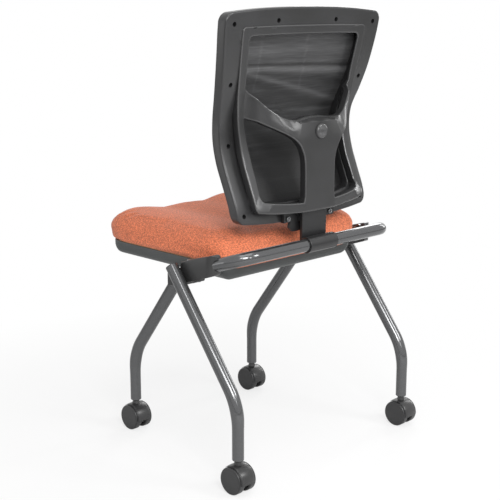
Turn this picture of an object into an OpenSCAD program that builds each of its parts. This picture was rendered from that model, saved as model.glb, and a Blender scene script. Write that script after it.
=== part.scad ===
// Nesting chair with a flip-up seat, a mesh back and four twin-wheel casters.
// Millimetres. The chair stands on z = 0 and faces -Y, and x = 0 is its middle plane.

/* [Frame tubes] */
// Outer diameter of the bent tubes
tube_d = 26.7; // [24:0.1:30]
// Diameter of the drawn-down tube ends above the casters
tube_end_d = 24.2; // [20:0.1:25]
// Wall of every tube
tube_wall = 1.8; // [1.2:0.1:2.5]
// Distance of the front tubes inside the seat's sides
front_inset = 43; // [38:0.5:48]
// Distance between the front and the rear casters
wheelbase = 412.8; // [380:1:440]
// Height of the lower tube ends above the floor
tube_end_z = 68; // [66:1:74]
// Height at which the upright and the slanted centrelines meet
knee_z = 179; // [170:1:188]
// Lean of the slanted tubes from upright, in degrees
leg_lean = 37.3; // [36:0.1:38.5]
// Centreline radius of the bends at the knees
knee_bend = 120; // [90:1:140]
// Height at which the rear tubes end
rear_top_z = 431; // [420:1:440]
// Height at which the front tubes start their upper bend
front_bend_z = 360; // [354:1:362]
// Centreline radius of the upper bends of the front tubes
front_bend = 80; // [74:1:84]
// Rise of the front tubes under the seat, in degrees
front_rise = 12; // [10:0.5:13]

/* [Cross bar] */
// Distance of the bar's centreline behind the middle of the chair
bar_y = 181; // [179:1:184]
// Height of the bar's centreline
bar_z = 466; // [462:1:470]
// Centreline radius of the bar's bends
bar_bend = 44; // [38:1:48]
// Fall of the arms towards the front, in degrees
bar_tilt = 18; // [16:0.5:20]

/* [Pivot housings] */
// Thickness of the cheek beside the seat
cheek_t = 12; // [10:0.5:14]
// Gap between the seat's sides and the cheeks
side_gap = 7.15; // [6:0.05:10]
// Distance of the housings' rear faces in front of the bar's centreline
housing_reach = 61; // [58:0.5:63]
// Distance of the seat pivot behind the middle of the chair
pivot_y = 94; // [92:0.5:96]
// Height of the seat pivot
pivot_z = 450; // [449:0.5:451]
// Diameter of the pivot pins
pivot_d = 8; // [6:0.5:9]

/* [Seat] */
// Width of the cushion at its widest
seat_w = 460; // [420:1:520]
// Depth of the cushion from front to rear
seat_d = 404; // [390:1:412]
// Distance of the cushion's rear edge behind the middle of the chair
seat_rear_y = 114; // [110:1:116]
// Height of the seam between cushion and pan
seam_z = 443; // [442:0.5:445]
// Height of the cushion above the seam, at its crown
cushion_h = 58; // [50:1:59]
// Dip of the saddle in the middle of the cushion
saddle_dip = 9; // [4:0.5:12]
// Height by which the cushion hangs below its seam along the rear edge
rear_skirt = 19; // [8:0.5:20]
// Depth of the pan below the seam at its sides
pan_depth = 27; // [24:0.5:27.5]
// Extra depth of the pan's rear middle
pan_belly = 16; // [8:0.5:18]
// Wall of the moulded pan
pan_wall = 3; // [2:0.25:4]
// Thickness of the seat board
board_t = 11; // [9:0.5:14]

/* [Back] */
// Width of the back at its top
back_w = 460; // [420:1:500]
// Height of the lowest edge of the back
back_z = 512; // [508:1:518]
// Height of the back from its lowest to its highest edge
back_h = 435; // [420:1:460]
// Distance of the lumbar bow's rear face behind the middle of the chair
lumbar_y = 91; // [88:0.5:96]
// Depth of the lumbar bow
lumbar_depth = 56; // [50:0.5:60]
// Thickness of the back frame
frame_t = 23; // [20:0.5:24]
// Height by which the brace stands proud of the frame at the waist
brace_lift = 24; // [20:0.5:26]
// Distance of the hub's rear face behind the middle of the chair
hub_y = 182; // [180:0.5:184]
// Width of the brace's stem
stem_w = 90; // [80:1:100]
// Thickness of the mesh panel
mesh_t = 1.6; // [1:0.1:2.5]
// Width of the flat steel back bar
flat_bar_w = 74; // [66:1:80]
// Thickness of the flat steel back bar
flat_bar_t = 8; // [6:0.5:9]

/* [Casters] */
// Diameter of the wheels
wheel_d = 57; // [52:0.5:58]
// Distance between the outer faces of a wheel pair
wheel_pair_w = 46; // [44:0.5:50]
// Width of one wheel
wheel_w = 16; // [14:0.5:17]
// Diameter of the caster axles
axle_d = 6; // [5:0.5:8]
// Diameter of the caster stems
stem_d = 11; // [9:0.5:12]

/* [Hidden] */

$fn = 64;

// Colours
steel_grey = "#6E7073";
black_plastic = "#4A4B4C";
dark_plastic = "#3B3C3D";
mesh_grey = "#2F2F30";
orange_fabric = "#DB7C57";
plain_steel = "#9B9DA0";
birch = "#C9A77A";

// Clearances and overruns
running_gap = 0.05;
seat_gap = 0.3;
overrun = 2;

// Places worked out from the sizes above
tube_r = tube_d / 2;
seat_x = seat_w / 2;
cheek_in = seat_x + side_gap;
cheek_out = cheek_in + cheek_t;
rear_x = cheek_out + tube_r;
front_x = seat_x - front_inset;
arm_x = seat_x;
rear_y = wheelbase / 2;
front_y = -wheelbase / 2;
knee_reach = knee_bend * tan(leg_lean / 2);
knee_start_z = knee_z - knee_reach;

// Turns a shape drawn in the XY plane so that its X runs along +Y and its Y along +Z
module side_view() {
    rotate([90, 0, 90]) children();
}

// Turns a shape drawn in the XY plane so that its Y runs along +Z and its depth along -Y
module front_view() {
    rotate([90, 0, 0]) children();
}

// Mirrored pair about the middle plane
module both_sides() {
    children();
    mirror([1, 0, 0]) children();
}

// One side only, side = 1 for the sitter's left and -1 for the right
module on_side(side) {
    if (side > 0) children();
    else mirror([1, 0, 0]) children();
}

// A point moved by a distance in a direction, both as [y, z]
function step_yz(p, dir, dist) = [p[0] + dir[0] * dist, p[1] + dir[1] * dist];

// A closed outline whose corners are rounded, from points [x, y, radius]
function corner_arc(a, p, b, r, n) =
    let (u = (a - p) / norm(a - p), v = (b - p) / norm(b - p))
    let (half = acos(max(-1, min(1, u * v))) / 2)
    let (reach = r / tan(half), mid = (u + v) / norm(u + v), centre = p + mid * (r / sin(half)))
    let (s = p + u * reach - centre, e = p + v * reach - centre)
    let (a0 = atan2(s[1], s[0]), turn = atan2(s[0] * e[1] - s[1] * e[0], s * e))
    [for (i = [0:n]) centre + r * [cos(a0 + turn * i / n), sin(a0 + turn * i / n)]];
function rounded(pts, n = 6) =
    let (m = len(pts))
    [for (i = [0:m - 1])
        let (p = [pts[i][0], pts[i][1]], a = pts[(i + m - 1) % m], b = pts[(i + 1) % m])
        each (pts[i][2] > 0 ? corner_arc([a[0], a[1]], p, [b[0], b[1]], pts[i][2], n) : [p])];

// A smooth curve through a table of evenly spaced values, at 0 to 1 along it
function smooth(table, s) =
    let (m = len(table) - 1, t = max(0, min(m - 0.0001, s * m)), i = floor(t), f = t - i)
    let (b = table[i], c = table[i + 1])
    let (a = i > 0 ? table[i - 1] : 2 * b - c, d = i < m - 1 ? table[i + 2] : 2 * c - b)
    b + f * ((c - a) + f * ((2 * a - 5 * b + 4 * c - d) + f * (3 * b - a - 3 * c + d))) / 2;

// Tube pieces, drawn as a solid of the given inset from the tube's outside.
// Bending thins a tube a little, so straight pieces lap cleanly over the bends.
bend_draw = 0.04;
lap = 1;
module straight(h, inset, low_lap = 0, high_lap = 0, d = tube_d) {
    translate([0, 0, -low_lap]) cylinder(h = h + low_lap + high_lap, d = d - 2 * inset);
}
module bend(radius, from, turn, inset) {
    rotate([90, 0, -90]) rotate([0, 0, from]) rotate_extrude(angle = turn)
        translate([radius, 0]) circle(d = tube_d - 2 * inset - bend_draw);
}

// Lower leg: drawn end, cone, upright tube and knee, leaning towards +Y
swage_z = knee_start_z - tube_d / 2;
swage_h = tube_d / 3;
lean_dir = [sin(leg_lean), cos(leg_lean)];
knee_end = [knee_bend * (1 - cos(leg_lean)), knee_start_z + knee_bend * sin(leg_lean)];
module lower_leg(inset, cut) {
    translate([0, 0, tube_end_z]) straight(swage_z - tube_end_z, inset, cut, lap, tube_end_d);
    translate([0, 0, swage_z]) cylinder(h = swage_h, d1 = tube_end_d - 2 * inset, d2 = tube_d - 2 * inset);
    translate([0, 0, swage_z + swage_h]) straight(knee_start_z - swage_z - swage_h, inset, lap / 4, lap);
    translate([0, knee_bend, knee_start_z]) bend(knee_bend, 0, leg_lean, inset);
}
module on_slant() {
    translate([0, knee_end[0], knee_end[1]]) rotate([-leg_lean, 0, 0]) children();
}

// Rear leg, which leans forwards and ends open beside the seat
rear_slant = (rear_top_z - knee_end[1]) / cos(leg_lean);
module rear_leg_form(inset, cut) {
    lower_leg(inset, cut);
    on_slant() straight(rear_slant, inset, lap, cut);
}
module rear_leg(side) {
    color(steel_grey) translate([side * rear_x, rear_y, 0]) mirror([0, 1, 0]) difference() {
        rear_leg_form(0, 0);
        rear_leg_form(tube_wall, overrun);
    }
}
module rear_leg_left() { rear_leg(1); }
module rear_leg_right() { rear_leg(-1); }

// Front leg, which leans rearwards, bends flatter under the seat and plugs into the housing
front_slant = (front_bend_z - knee_end[1]) / cos(leg_lean);
front_turn = 90 - front_rise - leg_lean;
bend_start = step_yz(knee_end, lean_dir, front_slant);
bend_centre = step_yz(bend_start, [cos(leg_lean), -sin(leg_lean)], front_bend);
bend_end = step_yz(bend_centre, [-sin(front_rise), cos(front_rise)], front_bend);
front_run_dir = [cos(front_rise), sin(front_rise)];
front_run = 34;
front_tip = step_yz(bend_end, front_run_dir, front_run);
module on_front_run(side) {
    translate([side * front_x, front_y + bend_end[0], bend_end[1]]) rotate([front_rise - 90, 0, 0]) children();
}
module front_leg_form(side, inset, cut) {
    translate([side * front_x, front_y, 0]) {
        lower_leg(inset, cut);
        on_slant() straight(front_slant, inset, lap, lap);
        translate([0, bend_centre[0], bend_centre[1]]) bend(front_bend, leg_lean, front_turn, inset);
    }
    on_front_run(side) straight(front_run, inset, lap, cut);
}
module front_leg(side) {
    color(steel_grey) difference() {
        front_leg_form(side, 0, 0);
        front_leg_form(side, tube_wall, overrun);
    }
}
module front_leg_left() { front_leg(1); }
module front_leg_right() { front_leg(-1); }

// Cross bar: a shallow U whose arms fall forwards into the housings
arm_len = 30;
bar_turn_x = arm_x - bar_bend;
module in_bar_frame() {
    translate([0, bar_y, bar_z]) rotate([bar_tilt, 0, 0]) children();
}
module bar_form(inset, cut) {
    in_bar_frame() {
        translate([-bar_turn_x, 0, 0]) rotate([0, 90, 0]) straight(2 * bar_turn_x, inset);
        both_sides() {
            translate([bar_turn_x, -bar_bend, 0]) rotate_extrude(angle = 90) translate([bar_bend, 0])
                circle(d = tube_d - 2 * inset);
            translate([arm_x, -bar_bend, 0]) rotate([90, 0, 0]) straight(arm_len, inset, 0, cut);
        }
    }
}
module cross_bar() {
    color(steel_grey) difference() {
        bar_form(0, 0);
        bar_form(tube_wall, overrun);
    }
}

// Pivot housing: a cheek beside the seat, a rear block round the bar's arm
// and a front boss round the front tube
housing_rise = 1.7;
housing_drop = 41;
housing_rear_y = bar_y - housing_reach;
housing_top_z = bar_z + housing_rise;
housing_low_z = bar_z - housing_drop;
block_in = 5.5;
block_len = 11;
block_in_x = arm_x - block_in;
block_front_y = housing_rear_y - block_len;
boss_ahead = 27;
boss_behind = 8;
boss_wall = 3;
boss_rise = 7;
boss_front_y = front_y + front_tip[0] - boss_ahead;
boss_rear_y = front_y + front_tip[0] + boss_behind;
rest_h = 2;
boss_top_z = seam_z - pan_depth - rest_h;
boss_low_z = bend_end[1] - tube_r - boss_wall / 2;
boss_in_x = front_x - tube_r - boss_wall;
boss_out_x = front_x + tube_r + boss_wall;
cheek_drop = 16;
cheek_low_z = front_tip[1] - cheek_drop;
// Knees of the cheek's lower and upper edges, as runs behind the boss and rises
low_knee = [25, 18];
top_start = [8, 26];
top_knee = [36, 12];
corner_r = 8;
rear_corner_r = 20;
module cheek_outline() {
    polygon(rounded([
        [boss_front_y, cheek_low_z, corner_r / 2],
        [boss_rear_y + low_knee[0], cheek_low_z + low_knee[1], 3 * corner_r],
        [housing_rear_y, housing_low_z, corner_r],
        [housing_rear_y, housing_top_z, corner_r],
        [boss_rear_y + top_start[0] + top_knee[0], boss_top_z + top_start[1] + top_knee[1], corner_r],
        [boss_rear_y + top_start[0], boss_top_z + top_start[1], corner_r / 2],
        [boss_rear_y, boss_top_z, 0],
        [boss_front_y, boss_top_z, corner_r / 2]]));
}
module block_outline() {
    intersection() {
        cheek_outline();
        translate([block_front_y, boss_low_z]) square([2 * block_len, bar_z]);
    }
}
module boss_outline(low_z) {
    polygon(rounded([
        [boss_front_y, low_z, corner_r / 2],
        [boss_rear_y, low_z + boss_rise, corner_r / 2],
        [boss_rear_y, boss_top_z, 0],
        [boss_front_y, boss_top_z, corner_r / 2]]));
}
// Plan of the housing, with its rear outer corner rounded
module housing_plan() {
    polygon(rounded([
        [boss_in_x, boss_front_y, corner_r / 2],
        [cheek_out, boss_front_y, corner_r / 2],
        [cheek_out, housing_rear_y, rear_corner_r],
        [block_in_x, housing_rear_y, 0],
        [block_in_x, block_front_y, 0],
        [cheek_in, block_front_y, 0],
        [cheek_in, boss_rear_y, 0],
        [boss_in_x, boss_rear_y, corner_r / 2]]));
}
pin_in_cheek = 9;
module pivot_axis(x) {
    translate([x, pivot_y, pivot_z]) rotate([0, 90, 0]) children();
}
module housing(side) {
    color(black_plastic) on_side(side) difference() {
        intersection() {
            union() {
                translate([cheek_in, 0, 0]) side_view() linear_extrude(cheek_t) cheek_outline();
                translate([block_in_x, 0, 0]) side_view()
                    linear_extrude(cheek_out - block_in_x) block_outline();
                translate([boss_in_x, 0, 0]) side_view()
                    linear_extrude(boss_out_x - boss_in_x) boss_outline(boss_low_z);
                translate([boss_in_x, 0, 0]) side_view()
                    linear_extrude(cheek_out - boss_in_x) boss_outline(cheek_low_z);
            }
            translate([0, 0, boss_low_z - overrun])
                linear_extrude(housing_top_z - boss_low_z + 2 * overrun) housing_plan();
        }
        // socket of the cross bar's arm
        bar_form(0, 0);
        // socket of the front tube
        on_front_run(1) cylinder(h = front_run, d = tube_d);
        // blind bore of the pivot pin
        pivot_axis(cheek_in - overrun) cylinder(h = pin_in_cheek + overrun, d = pivot_d);
        // bore of the bolt that holds the rear tube
        leg_bolt_axis(cheek_in - overrun) cylinder(h = cheek_t + 2 * overrun, d = leg_bolt_d);
    }
}
module housing_left() { housing(1); }
module housing_right() { housing(-1); }

// Bolts that pull the rear tubes against the cheeks, from inside
leg_bolt_d = 8;
leg_bolt_drop = 13;
leg_bolt_z = housing_low_z - leg_bolt_drop;
leg_bolt_y = rear_y - knee_end[0] - (leg_bolt_z - knee_end[1]) * tan(leg_lean);
bolt_head_d = 13;
bolt_head_h = 4;
module leg_bolt_axis(x) {
    translate([x, leg_bolt_y, leg_bolt_z]) rotate([0, 90, 0]) children();
}
module leg_bolts() {
    color(plain_steel) both_sides() {
        leg_bolt_axis(cheek_in) cylinder(h = cheek_t, d = leg_bolt_d);
        leg_bolt_axis(cheek_in - bolt_head_h) cylinder(h = bolt_head_h, d = bolt_head_d);
    }
}

// Plugs that close the upper ends of the rear tubes
plug_depth = 12;
plug_lip = 2;
module leg_end_plugs() {
    color(dark_plastic) both_sides() translate([rear_x, rear_y, 0]) mirror([0, 1, 0])
        on_slant() translate([0, 0, rear_slant - plug_depth]) {
            cylinder(h = plug_depth, d = tube_d - 2 * tube_wall);
            translate([0, 0, plug_depth]) cylinder(h = plug_lip, d1 = tube_d, d2 = tube_d - plug_lip);
        }
}

// Pivot pins, pressed into the cheeks, and the flanged bushes that the hinge arms turn on
lug_t = 4;
bush_wall = 1.5;
bush_flange_t = 1.6;
bush_rim = 5;
bush_flange_d = pivot_d + 2 * bush_rim;
pin_head_rim = 3;
pin_head_d = pivot_d + 2 * pin_head_rim;
pin_head_t = 2;
lug_out = cheek_in - bush_flange_t;
lug_in = lug_out - lug_t;
module pivot_pins() {
    color(plain_steel) both_sides() {
        pivot_axis(lug_in - running_gap) cylinder(h = cheek_in + pin_in_cheek - lug_in + running_gap, d = pivot_d);
        pivot_axis(lug_in - running_gap - pin_head_t) cylinder(h = pin_head_t, d = pin_head_d);
    }
}
module pivot_bushes() {
    color(dark_plastic) both_sides() difference() {
        union() {
            pivot_axis(lug_in) cylinder(h = lug_t, d = pivot_d + 2 * bush_wall);
            pivot_axis(lug_out) cylinder(h = bush_flange_t, d = bush_flange_d);
        }
        pivot_axis(lug_in - overrun)
            cylinder(h = lug_t + bush_flange_t + 2 * overrun, d = pivot_d + 2 * running_gap);
    }
}

// Places of the seat's edges and of the pan's rear notches
seat_front_y = seat_rear_y - seat_d;
seat_corner_r = 62;
pan_side_step = 6;
pan_front_step = 32;
pan_rear_step = 14;
pan_x = seat_x - pan_side_step;
pan_front_y = seat_front_y + pan_front_step;
pan_rear_y = seat_rear_y - pan_rear_step;
notch_clear = 13;
notch_x = arm_x - tube_r - notch_clear;
notch_y = boss_rear_y + notch_clear - pan_wall;

// Steel hinge arm: a lug round the bush and a flange under the seat board
lug_clear = 1;
arm_front_y = notch_y + lug_clear;
flange_t = 3;
flange_w = 27;
flange_in_x = lug_in - flange_w;
lug_r = 9;
// Shares of the lug's radius at which the arm leaves it
lug_side_share = 0.3;
lug_edge_share = 0.95;
module hinge_arm(side) {
    color(plain_steel) on_side(side) difference() {
        union() {
            translate([lug_in, 0, 0]) side_view() linear_extrude(lug_t) {
                translate([pivot_y, pivot_z]) circle(r = lug_r);
                polygon([[pivot_y + lug_r * lug_side_share, pivot_z - lug_r * lug_edge_share],
                    [arm_front_y, seam_z - 1.5 * lug_r], [arm_front_y, seam_z - seat_gap],
                    [pivot_y - lug_r * lug_edge_share, pivot_z + lug_r * lug_side_share]]);
            }
            translate([flange_in_x, arm_front_y, seam_z - flange_t])
                cube([lug_in - flange_in_x + lug_t / 2, pivot_y - lug_r - arm_front_y, flange_t]);
        }
        pivot_axis(lug_in - overrun)
            cylinder(h = lug_t + 2 * overrun, d = pivot_d + 2 * bush_wall);
        hinge_screw_places() translate([0, 0, -flange_t - overrun])
            cylinder(h = flange_t + 2 * overrun, d = small_screw_d);
    }
}
module hinge_arm_left() { hinge_arm(1); }
module hinge_arm_right() { hinge_arm(-1); }

// Screws that hold the hinge arms under the board
small_screw_d = 5;
small_head_d = 8;
small_head_h = 2.5;
module hinge_screw_places() {
    for (y = [arm_front_y + small_head_d, pivot_y - lug_r - 2 * small_head_d])
        translate([flange_in_x + small_head_d, y, seam_z]) children();
}
module hinge_screws() {
    color(plain_steel) both_sides() hinge_screw_places() {
        translate([0, 0, -flange_t]) cylinder(h = flange_t + board_t / 2, d = small_screw_d);
        translate([0, 0, -flange_t - small_head_h]) cylinder(h = small_head_h, d = small_head_d);
    }
}

// Seat outlines in plan
pan_front_r = 58;
pan_rear_r = 20;
notch_r = 2;
module pan_plan(inset) {
    polygon(rounded([
        [pan_x - inset, pan_front_y + inset, pan_front_r - inset],
        [pan_x - inset, notch_y - inset, notch_r],
        [notch_x - inset, notch_y - inset, 0],
        [notch_x - inset, pan_rear_y - inset, pan_rear_r],
        [inset - notch_x, pan_rear_y - inset, pan_rear_r],
        [inset - notch_x, notch_y - inset, 0],
        [inset - pan_x, notch_y - inset, notch_r],
        [inset - pan_x, pan_front_y + inset, pan_front_r - inset]]));
}
// Side profile: a soft front toe, a level underside and a deeper rear belly
toe_run = 43;
toe_r = 40;
belly_run = 26;
belly_start = 6;
belly_end = 12;
belly_r = 20;
rim_r = 4;
module pan_side(inset) {
    polygon(rounded([
        [pan_front_y - overrun, seam_z, 0],
        [pan_front_y - overrun, seam_z - pan_depth / 3 + inset, rim_r],
        [pan_front_y + toe_run, seam_z - pan_depth + inset, toe_r],
        [notch_y - belly_start, seam_z - pan_depth + inset, belly_r],
        [notch_y - belly_start + belly_run, seam_z - pan_depth - pan_belly + inset, belly_r],
        [pan_rear_y - belly_end, seam_z - pan_depth - pan_belly + inset, belly_r],
        [pan_rear_y + overrun, seam_z - pan_depth / 2, rim_r],
        [pan_rear_y + overrun, seam_z, 0]]));
}
// Cross-section: rounded lower edges, and the belly between the notches
belly_side = 28;
belly_x = notch_x - belly_side;
belly_side_r = 30;
side_r = 14;
side_step = 4;
module pan_section(inset) {
    polygon(rounded([
        [inset - pan_x, seam_z, 0],
        [inset - pan_x, seam_z - pan_depth + inset, side_r],
        [-notch_x - side_step, seam_z - pan_depth + inset, side_step],
        [-belly_x, seam_z - pan_depth - pan_belly + inset, belly_side_r],
        [belly_x, seam_z - pan_depth - pan_belly + inset, belly_side_r],
        [notch_x + side_step, seam_z - pan_depth + inset, side_step],
        [pan_x - inset, seam_z - pan_depth + inset, side_r],
        [pan_x - inset, seam_z, 0]]));
}
module pan_form(inset) {
    intersection() {
        translate([0, 0, seam_z - pan_depth - pan_belly - overrun])
            linear_extrude(pan_depth + pan_belly + overrun) pan_plan(inset);
        translate([-seat_x, 0, 0]) side_view() linear_extrude(seat_w) pan_side(inset);
        translate([0, seat_rear_y, 0]) front_view() linear_extrude(seat_d) pan_section(inset);
    }
}
// Moulded seat pan with a grid of ribs inside
rib_count_x = 5;
rib_count_y = 4;
rib_space = 2 * pan_x / (rib_count_x + 0.4);
head_clear = 0.5;
module seat_pan() {
    color(black_plastic) difference() {
        pan_form(0);
        difference() {
            pan_form(pan_wall);
            for (i = [0:rib_count_x - 1])
                translate([(i - (rib_count_x - 1) / 2) * rib_space - pan_wall / 2,
                    seat_front_y, seam_z - pan_depth - pan_belly])
                    cube([pan_wall, seat_d, pan_depth + pan_belly - pan_wall]);
            for (i = [1:rib_count_y])
                translate([-pan_x, pan_front_y + i * (pan_rear_y - pan_front_y) / (rib_count_y + 1),
                    seam_z - pan_depth - pan_belly])
                    cube([2 * pan_x, pan_wall, pan_depth + pan_belly - pan_wall]);
            pan_screw_places() translate([0, 0, -pan_depth - pan_belly])
                cylinder(h = pan_depth + pan_belly, d = 2 * small_head_d);
        }
        translate([0, 0, seam_z - pan_wall]) linear_extrude(pan_wall + overrun) pan_plan(pan_wall);
        pan_screw_places() {
            translate([0, 0, -pan_depth - pan_belly]) cylinder(h = pan_depth + pan_belly + overrun, d = small_screw_d);
            translate([0, 0, -pan_depth - pan_belly])
                cylinder(h = pan_belly + pan_depth - 2 * pan_wall, d = small_head_d + 2 * head_clear);
        }
    }
}

// Screws up through the pan into the board
pan_screw_share = 0.62;
module pan_screw_places() {
    for (sx = [-1, 1])
        for (y = [pan_front_y + seat_corner_r, notch_y - flange_w])
            translate([sx * pan_x * pan_screw_share, y, seam_z]) children();
}
module pan_screws() {
    color(plain_steel) pan_screw_places() {
        translate([0, 0, -2 * pan_wall]) cylinder(h = 2 * pan_wall + board_t / 2, d = small_screw_d);
        translate([0, 0, -2 * pan_wall - small_head_h]) cylinder(h = small_head_h, d = small_head_d);
    }
}

// Rubber rests under the pan that meet the housings when the seat is down
rest_d = 14;
module seat_rests() {
    color(dark_plastic) both_sides()
        translate([front_x, (boss_front_y + boss_rear_y) / 2, boss_top_z])
            cylinder(h = seam_z - pan_depth - boss_top_z, d = rest_d);
}

// Plywood board inside the upholstery, with room for the screws
board_inset = 8;
board_front_r = 78;
board_rear_r = 52;
module board_plan(grow) {
    polygon(rounded([
        [seat_x - board_inset + grow, seat_front_y + 3 * board_inset - grow, board_front_r],
        [seat_x - board_inset + grow, seat_rear_y - board_inset + grow, board_rear_r],
        [board_inset - seat_x - grow, seat_rear_y - board_inset + grow, board_rear_r],
        [board_inset - seat_x - grow, seat_front_y + 3 * board_inset - grow, board_front_r]]));
}
module seat_board() {
    color(birch) difference() {
        translate([0, 0, seam_z]) linear_extrude(board_t) board_plan(0);
        both_sides() hinge_screw_places() translate([0, 0, -overrun])
            cylinder(h = board_t / 2 + overrun, d = small_screw_d);
        pan_screw_places() translate([0, 0, -overrun]) cylinder(h = board_t / 2 + overrun, d = small_screw_d);
    }
}

// Cushion: rings of points up its drawn-in sides and in over its crown
ring_steps = 72;
// Shares of the side's roll and of the height at each ring, from the seam up and over
side_inset_shares = [0.25, 0.1, 0.02, 0, 0.12, 0.42, 0.9, 1.5];
side_height_shares = [0, 0.12, 0.3, 0.46, 0.64, 0.8, 0.91, 0.975];
crown_shares = [0.84, 0.66, 0.45, 0.22];
// Dip across the seat, from its middle to its side, as shares of the saddle's dip
dip_shares = [0.6, 0.66, 0.8, 0.78, 0.5, 0.2, 0, 0.05, 0.2, 0.4, 0.6];
end_drop_share = 0.45;
side_roll = 16;
seat_mid_y = seat_rear_y - seat_d / 2;
// Powers of the rounded plan, at the seam and at the widest rings
front_powers = [4.8, 6];
rear_powers = [8, 9.5];
function seat_edge(a, inset, full) =
    let (c = cos(a), s = sin(a), q = s < 0 ? front_powers : rear_powers)
    let (p = 2 / (q[0] + (q[1] - q[0]) * full))
    [sign(c) * pow(abs(c), p) * (seat_x - inset),
        seat_mid_y + sign(s) * pow(abs(s), p) * (seat_d / 2 - inset)];
// Height of the crown: two thigh ridges with a saddle between, lower at the front and rear ends
function crown_z(x, y) =
    let (u = min(1, abs(x) / seat_x), v = (y - seat_mid_y) / (seat_d / 2))
    seam_z + cushion_h - saddle_dip * (smooth(dip_shares, u) + end_drop_share * pow(abs(v), 4));
// Height of the seam, which drops over the pan's rear edge between its notches
skirt_in_x = notch_x - 2 * side_roll;
function seam_at(x, y) =
    let (t = max(0, min(1, (notch_x - abs(x)) / (notch_x - skirt_in_x))))
    y > pan_rear_y ? seam_z - rear_skirt * t * t * (3 - 2 * t) : seam_z;
function cushion_rings() = concat(
    [for (k = [0:len(side_inset_shares) - 1])
        [for (i = [0:ring_steps - 1])
            let (e = seat_edge(360 * i / ring_steps, side_inset_shares[k] * side_roll, min(1, k / 3)))
            let (base = seam_at(e[0], e[1]) + seat_gap)
            [e[0], e[1], base + (crown_z(e[0], e[1]) - base) * side_height_shares[k]]]],
    [for (k = [0:len(crown_shares) - 1])
        [for (i = [0:ring_steps - 1])
            let (q = seat_edge(360 * i / ring_steps, side_roll * 1.5, 1))
            let (x = q[0] * crown_shares[k], y = seat_mid_y + (q[1] - seat_mid_y) * crown_shares[k])
            [x, y, crown_z(x, y)]]]);
module cushion_form() {
    rings = cushion_rings();
    m = len(rings);
    pts = concat([for (r = rings) each r], [[0, seat_mid_y, seam_z + seat_gap], [0, seat_mid_y, crown_z(0, seat_mid_y)]]);
    low = m * ring_steps;
    faces = concat(
        [for (k = [0:m - 2]) for (i = [0:ring_steps - 1])
            let (j = (i + 1) % ring_steps, a = k * ring_steps, b = a + ring_steps)
            each [[a + i, b + j, a + j], [a + i, b + i, b + j]]],
        [for (i = [0:ring_steps - 1]) [i, (i + 1) % ring_steps, low]],
        [for (i = [0:ring_steps - 1])
            [(m - 1) * ring_steps + (i + 1) % ring_steps, (m - 1) * ring_steps + i, low + 1]]);
    polyhedron(points = pts, faces = faces);
}
module seat_cushion() {
    color(orange_fabric) difference() {
        cushion_form();
        translate([0, 0, seam_z - overrun]) linear_extrude(board_t + overrun + seat_gap) board_plan(seat_gap);
        translate([0, 0, seam_z - 2 * rear_skirt]) linear_extrude(2 * rear_skirt) pan_plan(-seat_gap);
    }
}

// Back lines: rear face of the frame, half-widths of frame and brace, brace height.
// Each table runs evenly from the back's lowest to its highest edge.
bow_shares = [0.955, 0.786, 0.473, 0.17, 0.005, 0.05, 0.312, 0.55, 0.732, 0.879, 1.0];
width_shares = [0.85, 0.856, 0.858, 0.861, 0.862, 0.872, 0.912, 0.948, 0.974, 0.994, 1.0];
brace_out_shares = [0.7, 0.709, 0.716, 0.719, 0.717, 0.731, 0.753, 0.769, 0.785, 0.795, 0.8];
brace_in_shares = [0.64, 0.638, 0.627, 0.622, 0.637, 0.662, 0.675, 0.682, 0.697, 0.711, 0.715];
lift_shares = [0.9, 0.94, 1.01, 1.02, 0.94, 0.75, 0.375, 0.16, 0.1, 0.1, 0.1];
back_x = back_w / 2;
line_steps = 24;
function back_y(s) = lumbar_y + lumbar_depth * smooth(bow_shares, s);
function half_w(s) = back_x * smooth(width_shares, s);
function brace_y(s) = back_y(s) + brace_lift * smooth(lift_shares, s);
function share_of_z(z) = (z - back_z) / back_h;

// A band in side view between two offsets from the frame's rear face, over the whole height
module back_band(front_off, rear_off) {
    polygon(concat(
        [for (i = [-1:line_steps + 1]) let (s = i / line_steps) [back_y(s) + rear_off, back_z + back_h * s]],
        [for (i = [line_steps + 1:-1:-1]) let (s = i / line_steps) [back_y(s) + front_off, back_z + back_h * s]]));
}

// Closed outline in front view that follows half-widths, with rounded corners and a crowned top
top_crown = 9;
low_crown = 9;
back_corner_r = 20;
crown_power = 2.5;
corner_steps = 6;
function edge_line(side, shares, inset, z0, z1, r) =
    let (s0 = share_of_z(z0 + r), s1 = share_of_z(z1 - r))
    [for (i = [0:line_steps]) let (s = s0 + (s1 - s0) * i / line_steps)
        [side * (back_x * smooth(shares, s) - inset), back_z + back_h * s]];
function corner_line(side, shares, inset, z, r, up) =
    let (x = back_x * smooth(shares, share_of_z(z)) - inset - r)
    [for (i = [1:corner_steps - 1]) let (a = 90 * i / corner_steps)
        [side * (x + r * cos(a)), z + up * r * (sin(a) - 1)]];
function flat_line(shares, inset, z, r, crown) =
    let (w = back_x * smooth(shares, share_of_z(z)) - inset - r)
    [for (i = [-corner_steps:corner_steps])
        [w * i / corner_steps, z + crown * (1 - pow(abs(i / corner_steps), crown_power))]];
function reversed(list) = [for (i = [len(list) - 1:-1:0]) list[i]];
function back_outline(shares, inset, z0, z1, r, crown_top, crown_low) = concat(
    edge_line(1, shares, inset, z0, z1, r),
    corner_line(1, shares, inset, z1, r, 1),
    reversed(flat_line(shares, inset, z1, r, crown_top)),
    reversed(corner_line(-1, shares, inset, z1, r, 1)),
    reversed(edge_line(-1, shares, inset, z0, z1, r)),
    corner_line(-1, shares, inset, z0, r, -1),
    flat_line(shares, inset, z0, r, -crown_low),
    reversed(corner_line(1, shares, inset, z0, r, -1)));

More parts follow.
